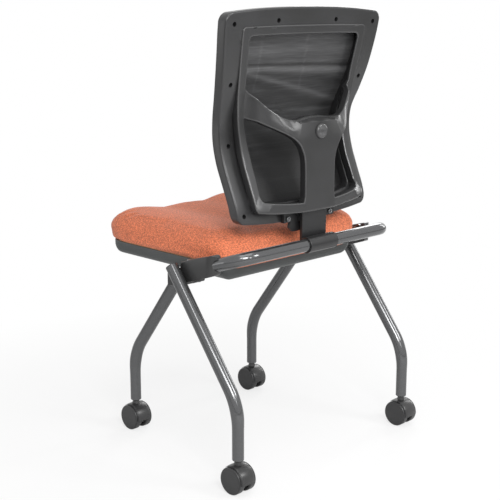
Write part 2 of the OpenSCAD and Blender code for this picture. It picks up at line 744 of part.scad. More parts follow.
// Back frame: a bowed, rounded ring that the mesh is stretched over
rail_w = 48;
low_rail_w = 40;
opening_r = 14;
frame_low_z = back_z + low_crown;
frame_top_z = back_z + back_h - top_crown;
module frame_plan(inset) {
    polygon(back_outline(width_shares, inset, frame_low_z + inset, frame_top_z - inset,
        back_corner_r, top_crown, low_crown));
}
module frame_opening(grow) {
    polygon(back_outline(width_shares, rail_w - grow, frame_low_z + low_rail_w - grow,
        frame_top_z - rail_w + grow, opening_r, top_crown / 2, low_crown));
}
// Extrudes a front-view outline through the whole depth of the back
module through_back() {
    translate([0, hub_y + lumbar_depth, 0]) front_view() linear_extrude(hub_y + lumbar_depth) children();
}
module bowed(front_off, rear_off, half) {
    translate([-half, 0, 0]) side_view() linear_extrude(2 * half) back_band(front_off, rear_off);
}
edging_w = 7;
edging_t = 4;
edging_out = 18;
edging_in = edging_out - edging_w;
module back_frame() {
    color(black_plastic) difference() {
        intersection() {
            through_back() difference() {
                frame_plan(0);
                frame_opening(0);
            }
            bowed(mesh_t - frame_t, 0, back_x + overrun);
        }
        // groove for the mesh's edging
        intersection() {
            through_back() difference() {
                frame_opening(edging_out);
                frame_opening(edging_in);
            }
            bowed(mesh_t - frame_t - overrun, mesh_t - frame_t + edging_t, back_x + overrun);
        }
        frame_screw_places() translate([0, 0, -screw_sink]) cylinder(h = screw_sink + overrun, d = sink_d);
        frame_screw_places() translate([0, 0, -screw_sink - screw_len])
            cylinder(h = screw_sink + screw_len, d = screw_core_d);
        carrier_screw_bores();
    }
}

// Mesh panel on the front face, and the strip that clamps its edge in the groove
mesh_inset = 4;
module mesh_panel() {
    color(mesh_grey) intersection() {
        through_back() frame_plan(mesh_inset);
        bowed(-frame_t, mesh_t - frame_t, back_x);
    }
}
module mesh_edging() {
    color(dark_plastic) intersection() {
        through_back() difference() {
            frame_opening(edging_out);
            frame_opening(edging_in);
        }
        bowed(mesh_t - frame_t, mesh_t - frame_t + edging_t, back_x);
    }
}

// Sunk screws in the frame's rear face, as [share of the height, share of the half-width]
screw_places = [[0.926, 0.9], [0.939, 0.373], [0.658, 0.898], [0.375, 0.892], [0.062, 0.91]];
sink_d = 9;
screw_sink = 5;
screw_core_d = 4;
screw_len = 9;
screw_head_h = 2;
// Slope of the frame's rear face at a height share, in degrees
share_step = 0.01;
function face_tilt(s) = atan2(back_y(s + share_step) - back_y(s - share_step), 2 * share_step * back_h);
module frame_screw_places() {
    for (p = screw_places)
        for (sx = [-1, 1])
            translate([sx * half_w(p[0]) * p[1], back_y(p[0]), back_z + back_h * p[0]])
                rotate([-90 - face_tilt(p[0]), 0, 0]) children();
}
module frame_screws() {
    color(dark_plastic) frame_screw_places() {
        translate([0, 0, -screw_sink - screw_len]) cylinder(h = screw_len, d = screw_core_d);
        translate([0, 0, -screw_sink]) cylinder(h = screw_head_h, d = sink_d);
    }
}

// Brace behind the frame: a proud ring, a stem and two arms that meet in a hub
ring_top_drop = 38;
ring_low_rise = 32;
ring_top_rail = 18;
ring_low_rail = 20;
ring_top_z = back_z + back_h - ring_top_drop;
ring_low_z = back_z + ring_low_rise;
ring_in_top_z = ring_top_z - ring_top_rail;
ring_in_low_z = ring_low_z + ring_low_rail;
ring_corner_r = 12;
ring_top_crown = 2;
stem_x = stem_w / 2;
wall_t = 15.4;
arm_end_off = 30;
low_fall = 21;
arm_end_y = lumbar_y + arm_end_off;
low_end_y = hub_y - low_fall;
// Points of the brace's Y: lower edge from the stem to the ring, then upper edge back to the hub,
// as shares of the back's half-width beyond the stem and of its height
arm_low_shares = [[0, 0.064], [0, 0.276], [0.033, 0.34], [0.114, 0.405], [0.255, 0.455], [0.413, 0.487],
    [0.614, 0.494]];
arm_top_shares = [[0.614, 0.637], [0.516, 0.6], [0.31, 0.531], [0.185, 0.497], [0.038, 0.474]];
arm_reach_share = 0.63;
low_clear_share = 0.47;
ring_outset = 1;
module ring_outer() {
    polygon(back_outline(brace_out_shares, 0, ring_low_z, ring_top_z, ring_corner_r, ring_top_crown, low_crown));
}
module ring_inner() {
    polygon(back_outline(brace_in_shares, 0, ring_in_low_z, ring_in_top_z, ring_corner_r, ring_top_crown,
        low_crown));
}
// Outline of the Y: arms that sweep into a straight stem
module brace_y_outline() {
    half = [for (p = concat(arm_low_shares, arm_top_shares))
        [stem_x + (back_x - stem_x) * p[0], back_z + back_h * p[1]]];
    polygon(concat(half, reversed([for (p = half) [-p[0], p[1]]])));
}
// Plan of a bent wall: flat across the stem, then falling forwards to a given reach
module wall_plan(end_x, end_y, thick) {
    polygon([[-end_x, end_y], [-stem_x, hub_y], [stem_x, hub_y], [end_x, end_y],
        [end_x, end_y - thick], [stem_x, hub_y - thick], [-stem_x, hub_y - thick], [-end_x, end_y - thick]]);
}
module back_brace() {
    color(black_plastic) difference() {
        union() {
            // sides and top rail of the ring
            intersection() {
                through_back() difference() {
                    ring_outer();
                    ring_inner();
                    translate([-back_x * low_clear_share, ring_low_z - low_rail_w])
                        square([2 * back_x * low_clear_share, 2 * low_rail_w]);
                }
                difference() {
                    translate([-back_x, 0, 0]) side_view() linear_extrude(back_w) ring_band();
                    bowed(-lumbar_depth, 0, back_x);
                }
            }
            // stem, arms and hub
            intersection() {
                through_back() brace_y_outline();
                translate([0, 0, back_z]) linear_extrude(back_h)
                    wall_plan(stem_x + (back_x - stem_x) * arm_reach_share, arm_end_y, wall_t);
            }
            // lower rail of the ring
            intersection() {
                through_back() difference() {
                    ring_outer();
                    ring_inner();
                }
                translate([0, 0, ring_low_z - low_rail_w])
                    linear_extrude(ring_in_low_z + lap - ring_low_z + low_rail_w)
                        wall_plan(back_x * brace_out_shares[1] + overrun, low_end_y, wall_t);
            }
        }
        // seat of the hub cap
        translate([0, hub_y + overrun, cap_z]) rotate([90, 0, 0]) cylinder(h = overrun + cap_sink, d = cap_d);
    }
}
module ring_band() {
    polygon(concat(
        [for (i = [0:line_steps]) let (s = i / line_steps) [brace_y(s), back_z + back_h * s]],
        [for (i = [line_steps:-1:0]) let (s = i / line_steps) [back_y(s) - ring_outset, back_z + back_h * s]]));
}

// Round domed cap in the hub
cap_d = 32;
cap_share = 0.43;
cap_z = back_z + back_h * cap_share;
cap_sink = 3;
cap_dome = 6;
module hub_cap() {
    color(dark_plastic) translate([0, hub_y - cap_sink, cap_z]) rotate([-90, 0, 0])
        rotate_extrude() intersection() {
            square([cap_d / 2, cap_sink + cap_dome]);
            translate([0, cap_sink + cap_dome - cap_d]) circle(r = cap_d);
        }
}

// Flat back bar with the sleeve that grips the cross bar
flat_bar_y = hub_y - wall_t - flat_bar_t;
sleeve_wall = 3.5;
sleeve_side = 5;
sleeve_half = flat_bar_w / 2 + sleeve_side;
flat_bar_rise = 92;
flat_top_z = back_z + flat_bar_rise;
module round_bar(half, d) {
    translate([-half, bar_y, bar_z]) rotate([0, 90, 0]) cylinder(h = 2 * half, d = d);
}
module back_bar() {
    color(dark_plastic) difference() {
        union() {
            translate([-flat_bar_w / 2, flat_bar_y, bar_z]) cube([flat_bar_w, flat_bar_t, flat_top_z - bar_z]);
            round_bar(sleeve_half, tube_d + 2 * sleeve_wall);
        }
        round_bar(sleeve_half + overrun, tube_d);
    }
}

// Carrier plate on the frame's lower rail, with a release lever below it on one side
carrier_x = 77;
carrier_t = 7;
carrier_h = 22;
carrier_y = back_y(0) + carrier_t;
lever_in_x = 25;
lever_w = 35;
lever_drop = 20;
lever_tip = 9;
module back_carrier() {
    color(dark_plastic) difference() {
        union() {
            translate([-carrier_x, back_y(0) - carrier_t, back_z + ring_outset])
                cube([2 * carrier_x, 2 * carrier_t, carrier_h]);
            translate([-flat_bar_w / 2, back_y(0), back_z + ring_outset])
                cube([flat_bar_w, flat_bar_y - back_y(0), carrier_h]);
            translate([lever_in_x, carrier_y, 0]) front_view() linear_extrude(carrier_t) polygon([
                [0, back_z + lever_drop], [0, back_z - lever_drop],
                [lever_w - lever_tip, back_z - lever_drop], [lever_w, back_z - lever_drop + lever_tip],
                [lever_w - lever_tip, back_z + lever_drop]]);
        }
        bowed(-lumbar_depth, 0, back_x);
        carrier_screw_bores();
    }
}

// Ring-headed screws that show beside the flat bar
carrier_screw_x = 64.5;
carrier_screw_rise = 8.5;
carrier_screw_len = 16;
ring_head_d = 11;
ring_head_h = 3;
module carrier_screw_places() {
    for (sx = [-1, 1])
        translate([sx * carrier_screw_x, carrier_y, back_z + carrier_screw_rise]) rotate([-90, 0, 0]) children();
}
module carrier_screw_bores() {
    carrier_screw_places() translate([0, 0, -carrier_screw_len])
        cylinder(h = carrier_screw_len + overrun, d = screw_core_d);
}
module carrier_screws() {
    color(plain_steel) carrier_screw_places() difference() {
        union() {
            translate([0, 0, -carrier_screw_len]) cylinder(h = carrier_screw_len, d = screw_core_d);
            cylinder(h = ring_head_h, d = ring_head_d);
        }
        translate([0, 0, ring_head_h / 3]) cylinder(h = ring_head_h, d = ring_head_d / 2);
    }
}

// Casters: a socket in each tube end, a stem, a hood, an axle and two wheels
wheel_r = wheel_d / 2;
wheel_out = wheel_pair_w / 2;
wheel_in = wheel_out - wheel_w;
hood_w = 2 * (wheel_in - seat_gap);
tread_r = 3;
socket_h = 34;
socket_d = tube_end_d - 2 * tube_wall;
neck_h = 8;
hood_top_z = tube_end_z - running_gap;
stem_len = 28;
stem_tip = 3;
module caster_sockets() {
    color(dark_plastic)
        for (p = [[rear_x, rear_y], [-rear_x, rear_y], [front_x, front_y], [-front_x, front_y]])
            translate([p[0], p[1], tube_end_z]) difference() {
                cylinder(h = socket_h, d = socket_d);
                translate([0, 0, -overrun]) cylinder(h = socket_h + 2 * overrun, d = stem_d + 2 * running_gap);
            }
}
module caster_stem(x, y) {
    color(plain_steel) translate([x, y, 0]) {
        translate([0, 0, hood_top_z - neck_h])
            cylinder(h = neck_h + tube_end_z - hood_top_z + stem_len, d = stem_d);
        translate([0, 0, tube_end_z + stem_len]) cylinder(h = stem_tip, d1 = stem_d, d2 = stem_d - stem_tip);
    }
}
// Hood: a web between the wheels, a curved roof over and behind them and a conical neck
hood_gap = 0.8;
roof_t = 2.4;
roof_lap = 1;
roof_inset = 1.5;
roof_from = -8;
roof_to = 128;
roof_steps = 16;
web_inset = 4;
neck_low_d = 20;
neck_top_d = 15;
axle_inset = 2;
module caster_hood(x, y) {
    color(black_plastic) translate([x, y, 0]) difference() {
        union() {
            translate([-hood_w / 2, 0, wheel_r]) rotate([0, 90, 0]) cylinder(h = hood_w, r = wheel_r - web_inset);
            translate([roof_inset - wheel_out, 0, wheel_r]) side_view()
                linear_extrude(wheel_pair_w - 2 * roof_inset) roof_outline();
            translate([-hood_w / 2, 0, wheel_r]) side_view() linear_extrude(hood_w) web_outline();
            translate([0, 0, wheel_d - roof_t])
                cylinder(h = hood_top_z - wheel_d + roof_t, d1 = neck_low_d, d2 = neck_top_d);
        }
        translate([-wheel_out - overrun, 0, wheel_r]) rotate([0, 90, 0])
            cylinder(h = wheel_pair_w + 2 * overrun, d = axle_d + 2 * running_gap);
        translate([0, 0, hood_top_z - neck_h]) cylinder(h = neck_h + overrun, d = stem_d);
        both_sides() translate([wheel_in - seat_gap, 0, wheel_r]) rotate([0, 90, 0])
            cylinder(h = wheel_w + overrun + seat_gap, r = wheel_r + hood_gap);
    }
}
function roof_arc(r) = [for (i = [0:roof_steps]) let (a = roof_from + (roof_to - roof_from) * i / roof_steps)
    r * [cos(a), sin(a)]];
module roof_outline() {
    r = wheel_r + hood_gap;
    polygon(concat(roof_arc(r + roof_t), reversed(roof_arc(r - roof_lap))));
}
module web_outline() {
    polygon(concat([[0, 0]], roof_arc(wheel_r + hood_gap + roof_t)));
}
module caster_axle(x, y) {
    color(plain_steel) translate([x - wheel_out + axle_inset, y, wheel_r]) rotate([0, 90, 0])
        cylinder(h = wheel_pair_w - 2 * axle_inset, d = axle_d);
}
// Wheel: a turned disc with a rounded tread and a dished outer face
dish_depth = 2;
dish_in = 8;
dish_out = 6;
tread_steps = 6;
module caster_wheel(x, y, side) {
    color(dark_plastic) translate([x, y, wheel_r]) on_side(side) translate([wheel_in, 0, 0]) rotate([0, 90, 0])
        rotate_extrude() polygon(concat(
            [[axle_d / 2, 0]],
            [for (i = [0:tread_steps]) let (a = 90 * i / tread_steps - 90)
                [wheel_r - tread_r + tread_r * cos(a), tread_r + tread_r * sin(a)]],
            [for (i = [0:tread_steps]) let (a = 90 * i / tread_steps)
                [wheel_r - tread_r + tread_r * cos(a), wheel_w - tread_r + tread_r * sin(a)]],
            [[wheel_r - dish_out, wheel_w], [wheel_r - dish_in, wheel_w - dish_depth],
                [axle_d / 2, wheel_w - dish_depth]]));
}

rear_leg_left();
rear_leg_right();
front_leg_left();
front_leg_right();
cross_bar();
housing_left();
housing_right();
leg_end_plugs();
leg_bolts();
pivot_pins();
pivot_bushes();
caster_sockets();
back_bar();
back_carrier();
carrier_screws();
back_frame();
back_brace();
mesh_panel();
mesh_edging();
frame_screws();
hub_cap();
seat_pan();
seat_board();
seat_cushion();
hinge_arm_left();
hinge_arm_right();
hinge_screws();
pan_screws();
seat_rests();
caster_hood(rear_x, rear_y);  // caster_hood_rear_left
caster_stem(rear_x, rear_y);  // caster_stem_rear_left
caster_axle(rear_x, rear_y);  // caster_axle_rear_left
caster_wheel(rear_x, rear_y, 1);  // caster_wheel_rear_left_a
caster_wheel(rear_x, rear_y, -1);  // caster_wheel_rear_left_b
caster_hood(-rear_x, rear_y);  // caster_hood_rear_right
caster_stem(-rear_x, rear_y);  // caster_stem_rear_right
caster_axle(-rear_x, rear_y);  // caster_axle_rear_right
caster_wheel(-rear_x, rear_y, 1);  // caster_wheel_rear_right_a
caster_wheel(-rear_x, rear_y, -1);  // caster_wheel_rear_right_b
caster_hood(front_x, front_y);  // caster_hood_front_left
caster_stem(front_x, front_y);  // caster_stem_front_left
caster_axle(front_x, front_y);  // caster_axle_front_left
caster_wheel(front_x, front_y, 1);  // caster_wheel_front_left_a
caster_wheel(front_x, front_y, -1);  // caster_wheel_front_left_b
caster_hood(-front_x, front_y);  // caster_hood_front_right
caster_stem(-front_x, front_y);  // caster_stem_front_right
caster_axle(-front_x, front_y);  // caster_axle_front_right
caster_wheel(-front_x, front_y, 1);  // caster_wheel_front_right_a
caster_wheel(-front_x, front_y, -1);  // caster_wheel_front_right_b
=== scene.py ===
"""Dresses the nesting chair: bent tubes, moulded back, stretched mesh, upholstered seat and casters.

Lengths inside the shape functions are millimetres in the chair's own frame: +Z up, the chair faces -Y,
x = 0 is its middle plane and the floor is z = 0. They become metres when a mesh is made.
"""
import math

import bpy
import numpy as np
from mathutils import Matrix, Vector
from mathutils.geometry import delaunay_2d_cdt


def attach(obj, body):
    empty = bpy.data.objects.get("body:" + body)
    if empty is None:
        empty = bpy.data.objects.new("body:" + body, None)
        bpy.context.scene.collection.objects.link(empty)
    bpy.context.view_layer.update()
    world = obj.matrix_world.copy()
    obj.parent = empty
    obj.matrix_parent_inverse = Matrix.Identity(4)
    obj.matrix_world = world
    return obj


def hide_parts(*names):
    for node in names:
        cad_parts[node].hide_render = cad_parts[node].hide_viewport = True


bl_info = {
    "name": "Nesting chair",
    "version": (1, 0, 0),
    "blender": (4, 5, 0),
    "location": "View3D > Sidebar > Chair",
    "description": "Builds the visible surfaces, finishes and studio of a nesting chair on its packed frame",
    "category": "Object",
}

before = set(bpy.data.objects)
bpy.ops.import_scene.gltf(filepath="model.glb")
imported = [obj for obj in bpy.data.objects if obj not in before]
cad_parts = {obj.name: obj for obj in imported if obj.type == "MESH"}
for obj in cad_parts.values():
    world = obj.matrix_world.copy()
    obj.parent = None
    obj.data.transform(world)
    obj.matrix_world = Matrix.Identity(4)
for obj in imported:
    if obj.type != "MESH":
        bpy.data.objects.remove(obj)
MM = 0.001
CASTERS = ("rear_left", "rear_right", "front_left", "front_right")
# Feet of the tubes, which are also the casters' places, the wheels' radius, and the middle of the cross bar
REAR_X, FRONT_X, LEG_Y, WHEEL_R = 262.5, 187.0, 206.4, 28.5
BAR_Y, BAR_Z = 181, 466


# ---------------------------------------------------------------- shapes as arrays

def ease(x):
    """Smooth step: 0 up to 0 and 1 from 1 on, level at both ends."""
    t = np.clip(x, 0, 1)
    return t * t * (3 - 2 * t)


def signed_area(p):
    """Area of a closed outline, negative if it runs clockwise."""
    return 0.5 * np.sum(p[:, 0] * np.roll(p[:, 1], -1) - np.roll(p[:, 0], -1) * p[:, 1])


def circle(n=40):
    """Cosines and sines of n places round a circle, as columns that vectors can be multiplied by."""
    a = np.linspace(0, 2 * math.pi, n, endpoint=False)
    return np.cos(a)[:, None], np.sin(a)[:, None]


def smooth_curve(table, s):
    """Catmull-Rom curve through evenly spaced values, at places s from 0 to 1 along the table."""
    t = np.asarray(table, float)
    m = len(t) - 1
    x = np.clip(np.asarray(s, float) * m, 0, m - 1e-6)
    i = np.floor(x).astype(int)
    f = (x - i).reshape(x.shape + (1,) * (t.ndim - 1))
    ext = np.concatenate([[2 * t[0] - t[1]], t, [2 * t[-1] - t[-2]]])
    a, b, c, d = ext[i], ext[i + 1], ext[i + 2], ext[i + 3]
    return b + f * ((c - a) + f * ((2 * a - 5 * b + 4 * c - d) + f * (3 * b - a - 3 * c + d))) / 2


def rounded(points, n=8):
    """Closed outline from corners (x, y, radius): each corner becomes an arc tangent to its two sides."""
    pts = np.array([p[:2] for p in points], float)
    out = []
    m = len(pts)
    for i in range(m):
        p, a, b, r = pts[i], pts[i - 1], pts[(i + 1) % m], points[i][2]
        if r <= 0:
            out.append(p[None])
            continue
        u, v = (a - p) / np.linalg.norm(a - p), (b - p) / np.linalg.norm(b - p)
        half = math.acos(max(-1, min(1, float(u @ v)))) / 2
        c = p + (u + v) / np.linalg.norm(u + v) * r / math.sin(half)
        s, e = p + u * r / math.tan(half) - c, p + v * r / math.tan(half) - c
        a0, turn = math.atan2(s[1], s[0]), math.atan2(s[0] * e[1] - s[1] * e[0], s @ e)
        t = a0 + turn * np.linspace(0, 1, n + 1)
        out.append(c + r * np.stack([np.cos(t), np.sin(t)], 1))
    return np.concatenate(out)


def bent_path(corners, radii, step=4.0):
    """Path along straight lines whose corners are arcs of the given radii, with points about a step
    apart."""
    c = [np.array(p, float) for p in corners]
    out, last = [c[0][None]], c[0]
    for i in range(1, len(c) - 1):
        u, v = c[i - 1] - c[i], c[i + 1] - c[i]
        u, v = u / np.linalg.norm(u), v / np.linalg.norm(v)
        half = math.acos(float(u @ v)) / 2
        reach, r = radii[i - 1] / math.tan(half), radii[i - 1]
        centre = c[i] + (u + v) / np.linalg.norm(u + v) * r / math.sin(half)
        s, e = c[i] + u * reach, c[i] + v * reach
        n = max(2, int(np.linalg.norm(s - last) / (3 * step)))
        out.append(last + (s - last) * np.linspace(0, 1, n + 1)[1:, None])
        turn = math.pi - 2 * half
        k = max(6, int(turn * r / step))
        t = np.linspace(0, 1, k + 1)[1:, None]
        a, b = s - centre, e - centre
        out.append(centre + (np.sin((1 - t) * turn) * a + np.sin(t * turn) * b) / math.sin(turn))
        last = e
    n = max(2, int(np.linalg.norm(c[-1] - last) / (3 * step)))
    out.append(last + (c[-1] - last) * np.linspace(0, 1, n + 1)[1:, None])
    return np.concatenate(out)


def tube_grid(path, radius, n=40):
    """Rings of a round bar: each ring lies square to the path, in the plane's normal and the turned
    normal."""
    p = np.asarray(path, float)
    tan = np.gradient(p, axis=0)
    tan /= np.linalg.norm(tan, axis=1)[:, None]
    flat = np.cross(tan[0], tan[-1])
    if np.linalg.norm(flat) < 1e-6:
        flat = np.cross(tan[0], [1, 0.01, 0])
    flat /= np.linalg.norm(flat)
    up = np.cross(tan, flat)
    up /= np.linalg.norm(up, axis=1)[:, None]
    c, s = circle(n)
    r = np.broadcast_to(np.asarray(radius, float), (len(p),))[:, None, None]
    ring = c[None] * flat + s[None] * up[:, None, :]
    return p[:, None, :] + r * ring


def lathe_grid(profile, centre, axis, n=64):
    """Rings of a turned piece: profile rows are (radius, distance along the axis)."""
    prof = np.asarray(profile, float)
    c, s = circle(n)
    u, v, w = np.roll(np.eye(3), "zxy".index(axis), 1)
    return np.array(centre, float) + prof[:, 0, None, None] * (c * u + s * v) + prof[:, 1, None, None] * w


def inset_outline(outline, d):
    """Outline moved inwards by d along the mean normal of its two sides at each point."""
    o = np.asarray(outline, float)
    e = np.roll(o, -1, 0) - o
    e /= np.maximum(np.linalg.norm(e, axis=1), 1e-9)[:, None]
    before = np.roll(e, 1, 0)
    t = e + before
    t /= np.maximum(np.linalg.norm(t, axis=1), 1e-9)[:, None]
    normal = np.stack([-t[:, 1], t[:, 0]], 1) * (1 if signed_area(o) > 0 else -1)
    stretch = 1 / np.clip(np.abs(np.sum(t * e, 1)), 0.5, 1)
    return o + normal * (d * stretch)[:, None]


def slab_grid(outline, low, high, radius, axis, steps=5):
    """Rings of a plate cut to an outline: its rims are quarter rounds, and a ring 0.5 mm further in keeps
    its faces flat."""
    t = np.linspace(0, math.pi / 2, steps)
    sin, cos, hold = radius * (1 - np.sin(t)), radius * (1 - np.cos(t)), [radius + 0.5]
    inset = np.concatenate([hold, sin, cos, hold])
    depth = np.concatenate([[low], low + cos, high - radius + radius * np.sin(t), [high]])
    rings = np.stack([inset_outline(outline, d) for d in inset])
    w = np.broadcast_to(depth[:, None], rings.shape[:2])
    a, b = rings[..., 0], rings[..., 1]
    return {"x": np.stack([w, a, b], -1), "y": np.stack([a, w, b], -1), "z": np.stack([a, b, w], -1)}[axis]


# ---------------------------------------------------------------- meshes

def quads(m, n, wrap_rows, first=0):
    """Corner numbers of the quads of an m by n grid whose columns close, and whose rows close if asked."""
    i = np.arange(m if wrap_rows else m - 1)[:, None]
    j = np.arange(n)[None, :]
    a, b, c, d = i * n + j, i * n + (j + 1) % n, (i + 1) % m * n + (j + 1) % n, (i + 1) % m * n + j
    return first + np.stack([a, b, c, d], -1).reshape(-1, 4)


def mesh_object(name, parts, crease=32.0):
    """One mesh from closed parts (vertices, faces), each with its faces turned outwards by its signed
    volume."""
    verts, faces, first = [], [], 0
    for v, fs in parts:
        v = np.asarray(v, float).reshape(-1, 3)
        centre = v.mean(0)
        w = v - centre
        volume = sum(float(np.dot(w[f[0]], np.cross(w[f[k]], w[f[k + 1]])))
                     for f in fs for k in range(1, len(f) - 1))
        fs = [[first + int(k) for k in (f if volume > 0 else f[::-1])] for f in fs]
        verts.append(v)
        faces += fs
        first += len(v)
    mesh = bpy.data.meshes.new(name)
    mesh.from_pydata((np.concatenate(verts) * MM).tolist(), [], faces)
    mesh.validate()
    mesh.polygons.foreach_set("use_smooth", np.ones(len(mesh.polygons), bool))
    mesh.set_sharp_from_angle(angle=math.radians(crease))
    obj = bpy.data.objects.new(name, mesh)
    bpy.context.scene.collection.objects.link(obj)
    return obj


def closed_part(grid, wrap_rows=False):
    """Vertices and faces of a grid whose columns close. Its end rings get flat caps unless its rows close
    too."""
    m, n = grid.shape[:2]
    faces = [list(f) for f in quads(m, n, wrap_rows)]
    if not wrap_rows:
        faces.append(list(range(n))[::-1])
        faces.append([(m - 1) * n + k for k in range(n)])
    return grid.reshape(-1, 3), faces


def mirrored(part):
    """The same part on the other side of the middle plane."""
    v, faces = part
    return np.asarray(v).reshape(-1, 3) * (-1, 1, 1), [list(f)[::-1] for f in faces]


def centres(obj):
    """Middles of a piece's faces."""
    out = np.empty(len(obj.data.polygons) * 3)
    obj.data.polygons.foreach_get("center", out)
    return out.reshape(-1, 3) / MM


def place(obj, body, slot, finishes, *stands_for, kinds=None):
    """Gives a new piece its finishes by their short names, each face its finish's number if there are
    several, and its body, and hides the CAD nodes that it stands for."""
    for short in finishes.split():
        obj.data.materials.append(FINISHES[short])
    if kinds is not None:
        obj.data.polygons.foreach_set("material_index", np.asarray(kinds, np.int32))
    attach(obj, body)
    if stands_for:
        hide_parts(*stands_for)


def place_pair(name, parts, slot, finishes, node, crease=32.0):
    """Makes a piece of the frame on the left, and its mirror image on the right."""
    for side, shown in (("_left", parts), ("_right", [mirrored(p) for p in parts])):
        place(mesh_object(name + side, shown, crease), "frame", slot, finishes, node + side)


def drill(obj, places, radius, depth, crease):
    """Cuts round holes: each place is a point on the rear face and the face's slope as (y, z) of its
    normal. The cutter starts 3 mm outside the face."""
    parts = []
    c, s = circle(28)
    for at, (ny, nz) in places:
        u, v, w = np.array([1.0, 0, 0]), np.array([0, -nz, ny]), np.array([0, ny, nz])
        ring = radius * (c * u + s * v)
        parts.append(closed_part(np.array(at, float) + ring + np.array([-depth, 3.0])[:, None, None] * w))
    cutter = mesh_object("drill", parts)
    bpy.context.view_layer.objects.active = obj
    cut = obj.modifiers.new("drill", "BOOLEAN")
    cut.operation, cut.solver, cut.object = "DIFFERENCE", "EXACT", cutter
    bpy.ops.object.modifier_apply(modifier=cut.name)
    bpy.data.objects.remove(cutter)
    obj.data.set_sharp_from_angle(angle=math.radians(crease))


# ---------------------------------------------------------------- finishes

def sheen_colour(hex_code):
    """Linear colour of an sRGB hex value."""
    c = [int(hex_code.lstrip("#")[k:k + 2], 16) / 255 for k in (0, 2, 4)]
    return tuple(v / 12.92 if v <= 0.04045 else ((v + 0.055) / 1.055) ** 2.4 for v in c) + (1.0,)


def add(tree, kind, links=(), **settings):
    """Adds one shader node: settings are its properties, its inputs' values (i1 is input 1) or a colour
    ramp's stops as (place, colour), and links are (input, output socket)."""
    node = tree.nodes.new("ShaderNode" + kind)
    for key, value in settings.items():
        if key == "stops":
            ends = node.color_ramp.elements
            while len(ends) < len(value):
                ends.new(0.5)
            for end, (at, colour) in zip(ends, value):
                end.position, end.color = at, sheen_colour(colour)
        elif hasattr(node, key):
            setattr(node, key, value)
        else:
            numbered = key[0] == "i" and key[1:].isdigit()
            node.inputs[int(key[1:]) if numbered else key.replace("_", " ")].default_value = value
    for socket, source in links:
        tree.links.new(source, node.inputs[socket])
    return node


def finish(name, colour, rough, metal=0.0, **shader):
    """A named finish: its material, its node tree and its shader, to add patterns to."""
    mat = bpy.data.materials.new(name)
    mat.use_nodes = True
    tree = mat.node_tree
    bsdf = tree.nodes["Principled BSDF"]
    shader.update(Base_Color=sheen_colour(colour), Roughness=rough, Metallic=metal)
    for key, value in shader.items():
        bsdf.inputs[key.replace("_", " ")].default_value = value
    mat.diffuse_color = sheen_colour(colour)
    return mat, tree, bsdf


def wire(tree, bsdf, **sources):
    """Links output sockets to the inputs of a shader."""
    for key, source in sources.items():
        tree.links.new(source, bsdf.inputs[key.replace("_", " ")])


def moulded_plastic(name, light, dark, rough, grit_mm=0.7, depth=0.06):
    """Injection moulded plastic: a fine spark-eroded grain, a change of tone over 90 mm and gloss that
    varies a little with it."""
    mat, tree, bsdf = finish(name, light, rough, IOR=1.5)
    at = add(tree, "TexCoord").outputs["Object"]
    slow = add(tree, "TexNoise", [("Vector", at)], Scale=1 / (90 * MM), Detail=3.0).outputs["Fac"]
    grain = add(tree, "TexVoronoi", [("Vector", at)], Scale=1 / (grit_mm * MM)).outputs["Distance"]
    tone = add(tree, "ValToRGB", [("Fac", slow)], stops=[(0.3, dark), (0.7, light)])
    gloss = add(tree, "MapRange", [("Value", slow)], To_Min=rough - 0.05, To_Max=rough + 0.06)
    bump = add(tree, "Bump", [("Height", grain)], Strength=depth, Distance=0.2 * MM)
    wire(tree, bsdf, Base_Color=tone.outputs[0], Roughness=gloss.outputs[0], Normal=bump.outputs[0])
    return mat


def painted_tube(name, light, dark):
    """Metallic grey coat on bent steel tube, glossy enough for crisp long highlights: very fine flakes, and
    a faint ripple 30 mm long that varies its gloss."""
    mat, tree, bsdf = finish(name, light, 0.15, 0.75)
    at = add(tree, "TexCoord").outputs["Object"]
    flakes = add(tree, "TexNoise", [("Vector", at)], Scale=1 / (0.6 * MM), Detail=2.0).outputs["Fac"]
    ripple = add(tree, "TexNoise", [("Vector", at)], Scale=1 / (30 * MM), Detail=1.0).outputs["Fac"]
    tone = add(tree, "ValToRGB", [("Fac", flakes)], stops=[(0.35, dark), (0.65, light)])
    gloss = add(tree, "MapRange", [("Value", ripple)], To_Min=0.12, To_Max=0.18)
    bump = add(tree, "Bump", [("Height", ripple)], Strength=0.03, Distance=0.2 * MM)
    wire(tree, bsdf, Base_Color=tone.outputs[0], Roughness=gloss.outputs[0], Normal=bump.outputs[0])
    return mat


def bright_zinc(name, light, dark):
    """Bare or zinc plated steel: metal clouded every 3 mm, with uneven gloss."""
    mat, tree, bsdf = finish(name, light, 0.35, 1.0)
    at = add(tree, "TexCoord").outputs["Object"]
    cloud = add(tree, "TexNoise", [("Vector", at)], Scale=1 / (3 * MM), Detail=4.0).outputs["Fac"]
    tone = add(tree, "ValToRGB", [("Fac", cloud)], stops=[(0.3, dark), (0.7, light)])
    gloss = add(tree, "MapRange", [("Value", cloud)], To_Min=0.28, To_Max=0.45)
    wire(tree, bsdf, Base_Color=tone.outputs[0], Roughness=gloss.outputs[0])
    return mat


